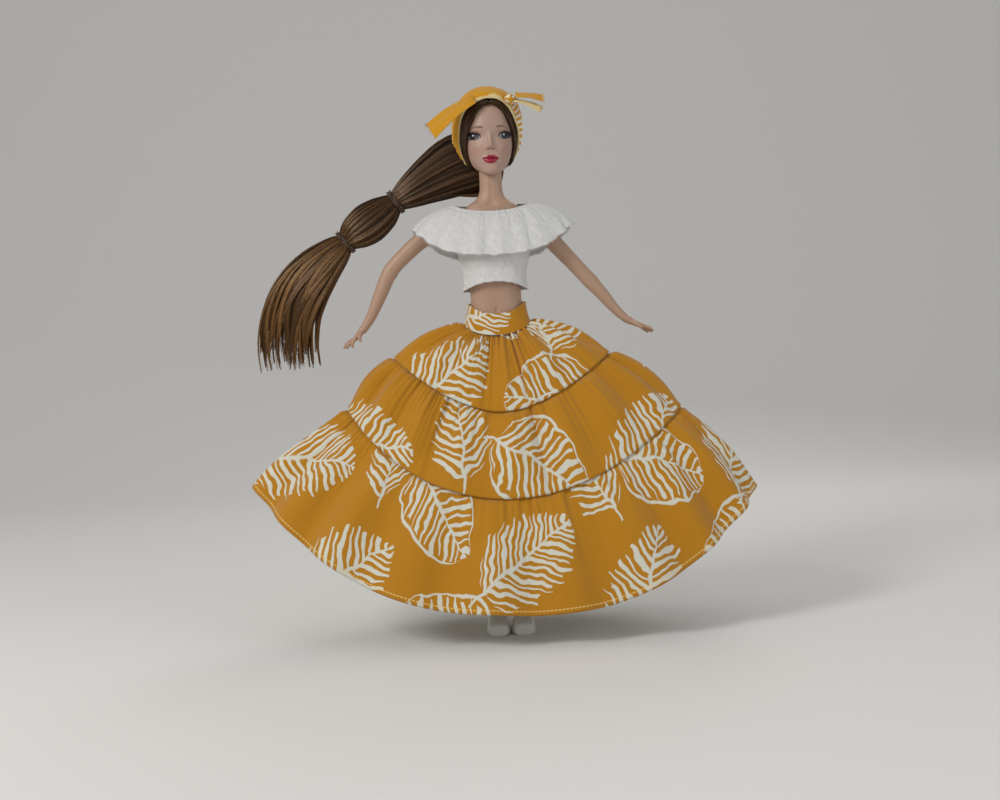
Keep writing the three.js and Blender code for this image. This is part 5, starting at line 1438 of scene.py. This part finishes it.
columns, rows = 420, 100
angle = np.arange(columns) / columns * TAU
rise = hairline(angle)
row = smooth_rows(HEAD_ROWS, rise)
x, y = oval(angle, row[:, 0] * HEAD_HALF, row[:, 2] * FACE_DEEP, row[:, 3] * SKULL_DEEP, 2.15)
edge = unit(np.stack([x, y + row[:, 1] * FACE_DEEP, HEAD_BASE + rise * HEAD_HIGH], -1) - HEAD_CENTRE)
crown = np.array([0.0, 0.0, 1.0])
sweep = np.linspace(0, 0.9999, rows)[None, :, None]
direction = turn_between(edge[:, None, :] + np.zeros((1, rows, 1)), crown + np.zeros((columns, rows, 3)), sweep)
side = np.arctan2(direction[..., 0], direction[..., 2] + 0.15)
comb = direction[..., 1] * 5 + 0.6 * np.abs(side)
locks = 0.30 * wave_noise(comb * 3.0, np.abs(side) * 0.4, 2.4, 4, 71)
part = np.exp(-((direction[..., 0] / 0.035) ** 2)) * (direction[..., 1] < 0.35) * ease(direction[..., 2] * 2)
swell = 2.2 + locks - 0.95 * part
swell = mix(0.75, 1, ease(sweep[..., 0] / 0.07)) * swell
cap_points = head_reach(direction) + direction * swell[..., None]
cap = shell("hair_cap_rooted", yawed(cap_points), grid_normals(yawed(cap_points), True, yawed(direction)), 1.1, True)
# Painted shade: the tone follows the locks' height, darker in the hollows between locks and along the parting
tone_layer(cap, np.tile((0.35 + 0.8 * locks - 0.5 * part).ravel(), 2), 0.1)
cap.data.materials.append(hair)


def head_strands(count, seed, locks=64):
    """Strands in locks from the parting down each side of the head and back to the nape."""
    local = np.random.default_rng(seed)
    lock_back = np.sort(local.beta(1.0, 1.25, locks))
    lock_tone = np.clip(0.45 + 0.3 * local.normal(size=locks), 0, 1)
    lock_layer = local.uniform(0, 1, locks)
    lock_sway = local.uniform(0, TAU, locks)
    paths, radii, tones = [], [], []
    t = np.linspace(0, 1, 26)[:, None]
    for k in range(count):
        side = 1 if k % 2 else -1
        lock = local.integers(locks)
        spread = np.clip(local.normal(0, 0.45), -1, 1)
        back = np.clip(lock_back[lock] + 0.022 * spread, 0, 1)
        start = unit(np.array([side * local.uniform(0.015, 0.06), mix(-0.63, 0.55, back), mix(0.80, 0.85, back)]))
        middle = unit(np.array([side, mix(-0.15, 0.62, back), mix(0.13, 0.3, back)]))
        end = unit(np.array([side * mix(0.62, 0.30, back), mix(0.10, 0.66, back), mix(-0.86, -0.42, back)]))
        curve = unit((1 - t) ** 2 * start + 2 * t * (1 - t) * middle * 1.6 + t**2 * end)
        layer = 0.7 * lock_layer[lock] + 0.3 * (1 - spread**2)
        offset = 2.1 + 0.5 * layer + 0.1 * np.sin(t[:, 0] * 7 + lock_sway[lock])
        offset = offset * mix(0.62, 1, ease(t[:, 0] / 0.12)) * mix(1, 0.8, ease((t[:, 0] - 0.85) / 0.15))
        paths.append(yawed(head_reach(curve) + curve * offset[:, None]))
        radii.append(np.interp(t[:, 0], [0, 0.15, 0.8, 1], [0.08, 0.15, 0.14, 0.06]) * local.uniform(0.7, 1.3))
        tones.append(np.full(26 * 3, np.clip(lock_tone[lock] + 0.14 * local.normal(), 0, 1)))
    piece = tubes("hair_strands_head", paths, radii, sides=3)
    tone_layer(piece, np.concatenate(tones), 0.22)
    return piece


strands = head_strands(1300, 72)
strands.data.materials.append(hair)
for piece in (cap, strands):
    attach(piece, "head")
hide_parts("hair_cap")

TAIL = [
    (-0.06, 0.0, 0.74, 0.08, 0.02), (0.02, 0.0, 0.93, 0.115, 0.05), (0.115, 0.017, 1.0, 0.118, 0.06),
    (0.203, 0.056, 0.97, 0.098, 0.056), (0.284, 0.1, 0.93, 0.07, 0.05), (0.356, 0.144, 0.91, 0.046, 0.038),
    (0.405, 0.181, 0.89, 0.066, 0.05), (0.459, 0.218, 0.88, 0.078, 0.056), (0.51, 0.252, 0.87, 0.067, 0.052),
    (0.55, 0.285, 0.85, 0.046, 0.038), (0.595, 0.323, 0.82, 0.064, 0.046), (0.662, 0.384, 0.78, 0.09, 0.05),
    (0.722, 0.458, 0.74, 0.108, 0.048), (0.766, 0.553, 0.7, 0.117, 0.042), (0.78, 0.655, 0.66, 0.121, 0.036),
    (0.773, 0.755, 0.61, 0.118, 0.028),
]
TAIL_LONG, TAIL_BACK, TAIL_ROOT = 148.0, 14.0, HEAD_BASE + 0.262 * HEAD_HIGH
TIE_AT = (5 / 15, 9 / 15)


def tail_frame(t):
    """Middle, half height and half depth of the tail at a share of its rows."""
    table = [(k / 15, *row) for k, row in enumerate(TAIL)]
    row = smooth_rows(table, t)
    middle = np.stack([-row[..., 0] * TAIL_LONG, row[..., 2] * TAIL_BACK, TAIL_ROOT - row[..., 1] * TAIL_LONG], -1)
    return middle, row[..., 3] * TAIL_LONG, row[..., 4] * TAIL_LONG


def tail_surface(t, turn, share):
    """A place inside the tail; share 1 is its outside."""
    middle, high, deep = tail_frame(t)
    ahead, behind = tail_frame(np.clip(t + 0.004, 0, 1))[0], tail_frame(np.clip(t - 0.004, 0, 1))[0]
    along = unit((ahead - behind) * np.array([1, 0, 1.0]))
    across = np.stack([-along[..., 2], np.zeros_like(along[..., 0]), along[..., 0]], -1)
    squeeze = 1 - 0.30 * sum(bump_curve(t, at, 0.012) for at in TIE_AT)
    u = np.sign(np.cos(turn)) * np.abs(np.cos(turn)) ** 0.95 * high * share * squeeze
    v = np.sign(np.sin(turn)) * np.abs(np.sin(turn)) ** 0.95 * deep * share * squeeze
    return middle + across * u[..., None] + np.array([0, 1.0, 0]) * v[..., None]


turn = (np.arange(150) / 150 * TAU)[:, None]
t = np.linspace(0.03, 0.90, 300)[None, :]
turn, t = np.broadcast_arrays(turn, t)
groove = 0.05 * wave_noise(np.cos(turn) * 14, np.sin(turn) * 14 + t * 2, 1.2, 3, 81)
body = tail_surface(t, turn, (0.84 + groove) * mix(1, 0.55, ease((t - 0.72) / 0.18)))
tail = faces_outward(grid_mesh("hair_tail_body", body, wrap=True, cap_ends=True))
# Painted shade: the tone follows the body's grooves, darker in them and lighter on the ridges; the golden share
# grows towards the end
tone_layer(tail, (0.12 + 3 * groove).ravel(), (0.25 * ease((t - 0.4) / 0.5)).ravel())
tail.data.materials.append(tail_hair)


def tail_strands(name, count, seed, clumps=46, points=40, outer=(0.84, 1.0)):
    """Strands in wavy locks, each lock rounded across and narrowing to its own tip."""
    local = np.random.default_rng(seed)
    lock_turn = (np.arange(clumps) + local.uniform(-0.35, 0.35, clumps)) / clumps * TAU
    lock_level = local.uniform(*outer, clumps)
    lock_tone = np.clip(0.42 + 0.27 * local.normal(size=clumps), 0, 1)
    lock_gold = local.uniform(0, 1, clumps)
    lock_last = mix(0.84, 1.0, local.beta(1.6, 1.0, clumps))
    phase = local.uniform(0, TAU, (2, clumps))
    pace = local.uniform(7, 12, clumps)
    paths, radii, tones, golds = [], [], [], []
    for _ in range(count):
        lock = local.integers(clumps)
        spread = np.clip(local.normal(0, 0.5), -1.2, 1.2)
        begin = 0.02 + 0.03 * local.random()
        last = np.clip(lock_last[lock] - 0.05 * local.random() ** 2, 0, 1)
        t = np.linspace(begin, last, points)
        free = ease((t - 0.60) / 0.2)
        bunch = mix(1.0, 0.35, ease((t - 0.74) / 0.26))
        drift = 0.10 * np.sin(t * 5 + phase[0, lock]) + 0.16 * free * np.sin(t * pace[lock] + phase[1, lock])
        turn = lock_turn[lock] + spread * 0.62 * TAU / clumps * bunch + drift + local.normal(0, 0.03) * t
        level = lock_level[lock] - 0.035 * spread**2 - 0.03 * local.random()
        level = level + 0.05 * free * np.sin(t * pace[lock] * 1.3 + phase[0, lock])
        near_tie = sum(bump_curve(t, at, 0.03) for at in TIE_AT)
        level = level * (1 - near_tie) + 0.93 * near_tie
        paths.append(tail_surface(t, turn, np.minimum(level, 1.0)))
        radii.append(np.interp(t, [0, 0.1, 0.8, 1], [0.14, 0.21, 0.2, 0.07]) * local.uniform(0.65, 1.3))
        tone = np.clip(lock_tone[lock] + 0.15 * local.normal(), 0, 1)
        tones.append(np.full(points * 3, tone))
        gold = ease((t - 0.3) / 0.6) * (0.15 + 0.85 * lock_gold[lock]) + 0.1 * local.normal()
        golds.append(np.repeat(np.clip(gold, 0, 1), 3))
    piece = tubes(name, paths, radii, sides=3)
    tone_layer(piece, np.concatenate(tones), np.concatenate(golds))
    piece.data.materials.append(tail_hair)
    return piece


locks = [
    tail_strands("hair_tail_strands_outer", 1500, 82),
    tail_strands("hair_tail_strands_under", 1100, 83, clumps=44, outer=(0.45, 0.9)),
]


def nape_strands(count, seed):
    """Hair from the far side of the nape that passes behind the neck into the tail."""
    local = np.random.default_rng(seed)
    route = [
        (0, 6.2, 8.8, HEAD_BASE + 9), (0.25, 5.4, 10.0, HEAD_BASE + 1), (0.5, 2.4, 11.0, HEAD_BASE - 6),
        (0.75, -6.0, 11.6, HEAD_BASE - 8.4), (1, -26.0, 13.4, HEAD_BASE - 6),
    ]
    t = np.linspace(0, 1, 26)
    middle = smooth_rows(route, t)
    paths, radii = [], []
    for _ in range(count):
        away = np.sqrt(local.random()) * mix(1.4, 3.2, ease((t - 0.5) * 2))
        turn = local.uniform(0, TAU) + 0.8 * t
        offset = np.stack([np.cos(turn) * away, 0.7 * np.sin(turn) * away, 0.6 * np.sin(turn) * away], -1)
        paths.append(middle + offset)
        radii.append(np.interp(t, [0, 0.1, 0.9, 1], [0.07, 0.16, 0.16, 0.07]) * local.uniform(0.7, 1.3))
    piece = tubes("hair_nape_strands", paths, radii, sides=3)
    tone = np.repeat(np.clip(0.45 + 0.3 * local.normal(size=count), 0, 1), 26 * 3)
    tone_layer(piece, tone, 0.2)
    piece.data.materials.append(tail_hair)
    return piece


locks.append(nape_strands(420, 84))
elastic, shader = node_material("covered elastic", (0.055, 0.035, 0.024), 0.7)
u, v = split_uv(uv_of(elastic))
winding = maths("SINE", u * 900.0 + v * 12.0)
# Painted shade: the winding's colour follows its relief, darker in the grooves and lighter on the crests
feed(shader["Base Color"], blend_colour(winding, (0.05, 0.028, 0.018), (0.15, 0.095, 0.06)))
bump(shader, winding, 0.00012, 0.9)
ties = []
ring, around = (np.arange(120) / 120 * TAU)[:, None], (np.arange(14) / 14 * TAU)[None, :, None]
for at, word in zip(TIE_AT, ("upper", "lower")):
    loops = []
    for k, lift_out in enumerate((0.0, 0.35, 0.05)):
        place = np.full_like(ring, at + (k - 1) * 0.0052)
        path = tail_surface(place, ring + 0.15 * k, 1.36 + 0.05 * lift_out)[:, 0]
        outward = unit(path - path.mean(0))
        third = np.cross(unit(np.roll(path, -1, 0) - np.roll(path, 1, 0)), outward)
        rings = path[:, None] + 0.45 * (np.cos(around) * outward[:, None] + np.sin(around) * third[:, None])
        uv = np.stack(np.broadcast_arrays(np.linspace(0, 0.05, 121)[:, None], np.linspace(0, 1, 14)[None, :]), -1)
        rings, uv = (np.concatenate([values, values[:, :1]], 1) for values in (rings, uv))
        loops.append(grid_mesh("tie part", rings, wrap=True, uv=uv))
    tie = join_pieces(f"hair_tie_{word}_elastic", loops)
    tie.data.materials.append(elastic)
    ties.append(tie)
for piece in [tail] + locks + ties:
    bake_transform(piece)
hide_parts("hair_tail")
for piece in [tail] + locks:
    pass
for tie, word in zip(ties, ("upper", "lower")):
    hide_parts(f"hair_tie_{word}")


# Headscarf: a folded band over the crown and under the nape, its knot and three free ends

YELLOW, CREAM_BACK = (0.61, 0.29, 0.006), (0.68, 0.56, 0.28)
SCARF_HALF, NAPE_HALF, SCARF_THICK = 8.0, 3.2, 0.9


def scarf_cloth(name, edge_low, edge_high, bars=None):
    """Mustard cotton whose pale wrong side is turned out along its folded edges; bars run across it."""
    material, shader, uv, threads, height = cloth_base(name, YELLOW, 0.8, "scarf")
    u, v = split_uv(uv)
    wander = (noise(uv, 140.0, 3) - 0.5) * 0.0028
    across = v + wander
    thread = soft_step(threads, -0.6, 0.9)
    ground = worn_ground(uv, thread, YELLOW, 110.0, 0.6, (0.8, 0.72, 0.6), 0.18, (0.78, 0.42, 0.03))
    if bars is not None:
        first, last, pitch = bars
        reach = soft_step(u, first, first + 0.001) * soft_step(u, last, last - 0.001)
        beat = maths("FRACT", (u + v * 0.22 + wander) / pitch)
        bar = soft_step(abs(beat - 0.5), 0.27, 0.19)
        parted = soft_step(abs(across - 0.0048), 0.0004, 0.0009)
        ground = blend_colour(bar * reach * parted, ground, (0.78, 0.74, 0.62))
    low, high = soft_step(across, edge_low, edge_low - 0.0007), soft_step(across, edge_high, edge_high + 0.0007)
    feed(shader["Base Color"], blend_colour(maths("MAXIMUM", low, high), ground, CREAM_BACK))
    bump(shader, height, 0.00018, 0.6)
    return material


def scarf_direction(turn, across):
    low = (1 - np.cos(turn)) / 2
    middle = unit(np.stack([np.sin(turn), mix(-0.2, 0.75, low), np.cos(turn)], -1))
    half = mix(SCARF_HALF, NAPE_HALF, ease(low)) * (1 + 1.1 * bump_curve(turn, 1.4, 0.6) * (across < 0))
    sideways = unit(np.array([0, 1.0, 0]) - middle * middle[..., 1:2])
    return unit(middle * HEAD_HIGH / 2 + sideways * (across * half)[..., None])


KNOT_TURN = math.radians(31)
turn, across = turn_grid(520, 60)
across = 2 * across - 1
direction = scarf_direction(turn, across)
puff = 2.4 * (1 - across**2) * ease(np.cos(turn))
pleats = 0.32 * np.sin(across * 9 + 2.2 * np.sin(turn * 2 + 1)) + 0.22 * np.sin(across * 17 + 1.5 * np.sin(turn * 3))
pleats = pleats + 0.22 * wave_noise(turn * 5, across * 2.4, 1.8, 3, 91)
knot_side = bump_curve(np.mod(turn + math.pi, TAU) - math.pi, KNOT_TURN, 0.30)
pleats = pleats * (1 + 0.9 * knot_side) - 0.5 * knot_side * (1 - across**2)
roll = 0.35 * bump_curve(np.abs(across), 0.93, 0.06) - 0.45 * ease((np.abs(across) - 0.965) / 0.035)
roll = roll - 0.8 * ease((-across - 0.5) / 0.45) * np.sin(turn) ** 2
flare = 4.2 * np.sin(turn) ** 2 * np.clip((across + 1) / 2, 0, 1)
lift = SCARF_OFF + SCARF_THICK + puff + np.maximum(pleats, -0.35) * 0.8 + roll + flare
band = yawed(head_reach(direction) + direction * lift[..., None])
length = run_along(band[:, 30])
long = length[-1] + length[1]
tall = np.linalg.norm(np.diff(band, axis=1), axis=2).sum(1)
uv = np.stack([np.broadcast_to(length[:, None], turn.shape), (across + 1) / 2 * 9.6], -1) * MM
normals = grid_normals(band, True, yawed(direction))
band_piece = shell("headscarf_band_cloth", band, normals, 0.85, True, closed_uv(uv, long * MM))
scarf_band = scarf_cloth("scarf cotton band", 0.0011, 0.0087, (long * 0.10 * MM, long * 0.42 * MM, 0.0036))
for _ in ("outer face", "inner face"):
    band_piece.data.materials.append(scarf_band)
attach(band_piece, "head")
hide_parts("headscarf_band")

KNOT = scarf_direction(np.array([KNOT_TURN]), np.array([-1.1]))[0]
KNOT_PLACE = head_reach(KNOT[None])[0] + KNOT * (SCARF_OFF + SCARF_THICK + 0.35 + 3.4)
plain_scarf = scarf_cloth("scarf cotton", -1.0, 2.0)
pale_scarf, shader, uv, _, height = cloth_base("scarf cotton pale side", CREAM_BACK, 0.85, "scarf")
feed(shader["Base Color"], blend_colour(noise(uv, 200.0, 3) * 0.5, CREAM_BACK, (0.76, 0.56, 0.2)))
bump(shader, height, 0.00018, 0.6)


def knot_piece():
    """A tight knot: one round of cloth crossing over a bundle, with pulled creases."""
    round_it, polar = turn_grid(140, 90)
    polar = 0.001 + polar * (math.pi - 0.002)
    spot = np.stack([np.cos(polar), np.sin(polar) * np.cos(round_it), np.sin(polar) * np.sin(round_it)], -1)
    slant = spot[..., 0] + 0.25 * spot[..., 2]
    belt = bump_curve(slant, 0, 0.42)
    creases = 0.16 * np.sin(round_it * 3 + spot[..., 0] * 9) * (1 - belt)
    creases = creases + 0.10 * np.sin(spot[..., 0] * 19 + 2 * np.sin(round_it * 2)) * belt
    creases = creases - 0.30 * bump_curve(np.abs(slant), 0.46, 0.07)
    radius = 3.2 * (0.86 + 0.2 * belt) + creases + 0.12 * wave_noise(round_it * 2, polar * 3, 1.4, 3, 95)
    points = yawed(KNOT_PLACE + spot * radius[..., None] * np.array([1.08, 1.08, 0.92]))
    uv = closed_uv(np.stack([round_it, polar], -1) * 3.2 * MM, TAU * 3.2 * MM)
    return faces_outward(grid_mesh("scarf_knot_cloth", points, wrap=True, uv=uv, cap_ends=True))


knot = knot_piece()
knot_cloth = scarf_cloth("scarf cotton knot", -1.0, 2.0, (0.002, 0.016, 0.0040))
paint_with(knot, knot_cloth, "head", "scarf_knot")
yellow_thread = thread_material("scarf thread", (0.74, 0.45, 0.10))
END_ROWS = [(0, 0.55, 0), (0.25, 0.74, -0.01), (0.5, 0.87, 0.02), (0.75, 0.95, 0.08), (1, 1, 0.16)]


def free_end(name, node, start, direction, width_way, length, half, fold, curl, seed, pale_out=False):
    """A free end: pinched where it leaves the knot, creased along its length, frayed at its cut."""
    share, q = np.broadcast_arrays(np.linspace(0, 1, 110)[:, None], np.linspace(-1, 1, 70)[None, :])
    spread, droop = np.moveaxis(smooth_rows(END_ROWS, share), -1, 0)
    along, width_way = unit(np.array(direction, float)), np.array(width_way, float)
    over = unit(width_way - along * (along @ width_way))
    up = unit(np.cross(along, over))
    if up[2] < 0:
        up = -up
    wave = 0.30 * np.sin(q * 7 + share * 3 + seed) * (0.4 + share)
    wave = wave + 0.5 * curl * np.sin(q * 2.2 + share * 4.5 + seed) * share
    wave = wave + 0.25 * wave_noise(share * 4, q * 2, 1.7, 3, seed)
    pinch = (1 - ease(share / 0.3)) * np.abs(np.sin(q * 6)) * 0.7
    ragged = 0.25 * wave_noise(q * 6, share * 0, 2.0, 3, seed + 5) * ease((share - 0.9) / 0.1)
    rise = -droop * length + fold * (1 - q**2) * spread + wave + pinch
    tuck = curl * ease((np.abs(q) - 0.62) / 0.38) * (q > 0)
    grid = yawed(
        np.array(start)
        + along * (share * length + ragged)[..., None]
        + over * (q * spread * half * (1 - 0.22 * tuck))[..., None]
        + up * (rise + 0.6 - 1.5 * tuck * ease(share * 2))[..., None]
    )
    outward, onward = (yawed(way[None]) for way in (up, along))
    uv = np.stack([share * length, (q + 1) * half], -1) * MM
    piece = shell(name, grid, grid_normals(grid, False, outward[0]), 0.45, False, uv)
    for material in (pale_scarf, plain_scarf) if pale_out else (plain_scarf, pale_scarf):
        piece.data.materials.append(material)
    tip = grid[-1]
    outward, onward = (np.broadcast_to(way, tip.shape) for way in (outward, onward))
    loose = fringe(f"{name}_threads", tip, outward, onward, 90, 1.9, seed + 9, 0.05, wrap=False, wild=0.35)
    loose.data.materials.append(yellow_thread)
    for item in (piece, loose):
        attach(item, "head")
    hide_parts(node)


beside = 3.4 * 1.1 + 0.35
free_end(
    "scarf_end_upper_cloth", "scarf_end_upper", KNOT_PLACE + [beside + 0.35 - 1.4, 0, 1.0], (1, -0.1, 0.02),
    (0, 1, 0.5), 14.4, 5.6, 0.9, 0.35, 101,
)
free_end(
    "scarf_end_lower_cloth", "scarf_end_lower", KNOT_PLACE + [beside * 0.86 - 1.4, 0, -1.9], (1, -0.15, -0.18),
    (0, 1, 0.4), 14.4, 5.6, 0.9, 0.3, 102, pale_out=True,
)
LEFT = scarf_direction(np.array([math.radians(-24)]), np.array([-1.1]))
LEFT_PLACE = (head_reach(LEFT) + LEFT * (SCARF_OFF + SCARF_THICK + 2 * LAYER))[0]
free_end(
    "scarf_flap_cloth", "scarf_end_left", LEFT_PLACE, (-1, 0.06, -0.46), (0.1, 0.7, 0.7), 28.0, 7.5, 1.6, 0.9,
    103,
)


# Fittings that keep their CAD solids: pegs, pins, the neckline's elastic and the hook tapes

soft_elastic = plastic_material("white elastic", (0.74, 0.73, 0.70), 0.8, 1300.0)
hook_tape = plastic_material("hook tape", (0.70, 0.69, 0.66), 0.9, 2100.0)
FITTINGS = {
    "neck_knob": nylon, "hip_axle": nylon, "left_shoulder_swivel": nylon, "right_shoulder_swivel": nylon,
    "left_shoulder_pin": nylon, "right_shoulder_pin": nylon, "neckline_elastic": soft_elastic,
    "top_closure": hook_tape, "skirt_closure": hook_tape,
}
for name, look in FITTINGS.items():
    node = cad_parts[name]
    node.data.materials.clear()
    node.data.materials.append(look)


# Camera, light and floor

tilt = math.radians(2.65)
target = Vector((-0.0004, 0, 0.1264))
reach, climb = 0.769, math.radians(3.0)
eye = target + Vector((0, -math.cos(climb), math.sin(climb))) * reach
camera_data = bpy.data.cameras.new("camera")
camera_data.lens = 50.7
camera_data.sensor_width = 36.0
camera_data.clip_start = 0.01
camera = bpy.data.objects.new("camera", camera_data)
scene.collection.objects.link(camera)
camera.matrix_world = (
    Matrix.Translation(eye)
    @ (target - eye).to_track_quat("-Z", "Y").to_matrix().to_4x4()
    @ Matrix.Rotation(-tilt, 4, "Z")
)
scene.camera = camera


def soft_light(name, place, aim, size, watts, colour):
    data = bpy.data.lights.new(name, "AREA")
    data.shape = "DISK"
    data.size = size
    data.energy = watts
    data.color = colour
    lamp = bpy.data.objects.new(name, data)
    scene.collection.objects.link(lamp)
    lamp.location = place
    lamp.rotation_euler = (Vector(aim) - Vector(place)).to_track_quat("-Z", "Y").to_euler()
    return lamp


soft_light("key", (-0.72, -0.66, 0.74), (0, 0, 0.13), 0.36, 6.0, (1.0, 0.98, 0.95))
soft_light("fill", (0.65, -0.6, 0.35), (0, 0, 0.14), 0.6, 1.3, (0.93, 0.96, 1.0))
soft_light("back", (0.25, 0.7, 0.6), (0, 0, 0.17), 0.45, 1.1, (1.0, 0.98, 0.95))

# A pale sweep: a floor that curves up into a wall behind the doll
sweep_material, _ = node_material("pale sweep", (0.80, 0.79, 0.77), 0.85)
FLOOR_REACH, BEND_START, BEND_RADIUS, WALL_TOP = 4.0, 0.7, 0.9, 3.2
bend = np.linspace(0, math.pi / 2, 40)
profile = [(-FLOOR_REACH, 0.0)]
profile += [(BEND_START + BEND_RADIUS * math.sin(a), BEND_RADIUS * (1 - math.cos(a))) for a in bend]
profile += [(BEND_START + BEND_RADIUS, WALL_TOP)]
rows = [[(x, y, z) for y, z in profile] for x in (-FLOOR_REACH, FLOOR_REACH)]
count = len(profile)
sweep_mesh = bpy.data.meshes.new("sweep")
sweep_mesh.from_pydata(
    rows[0] + rows[1], [], [(k, k + count, k + count + 1, k + 1) for k in range(count - 1)]
)
sweep_mesh.polygons.foreach_set("use_smooth", [True] * (count - 1))
sweep = bpy.data.objects.new("sweep", sweep_mesh)
scene.collection.objects.link(sweep)
sweep.data.materials.append(sweep_material)

world = bpy.data.worlds.new("world")
scene.world = world
world.use_nodes = True
world.node_tree.nodes["Background"].inputs["Color"].default_value = (0.80, 0.80, 0.80, 1)
world.node_tree.nodes["Background"].inputs["Strength"].default_value = 0.52
scene.view_settings.view_transform = "Standard"
scene.view_settings.look = "None"
scene.view_settings.exposure = 0.0
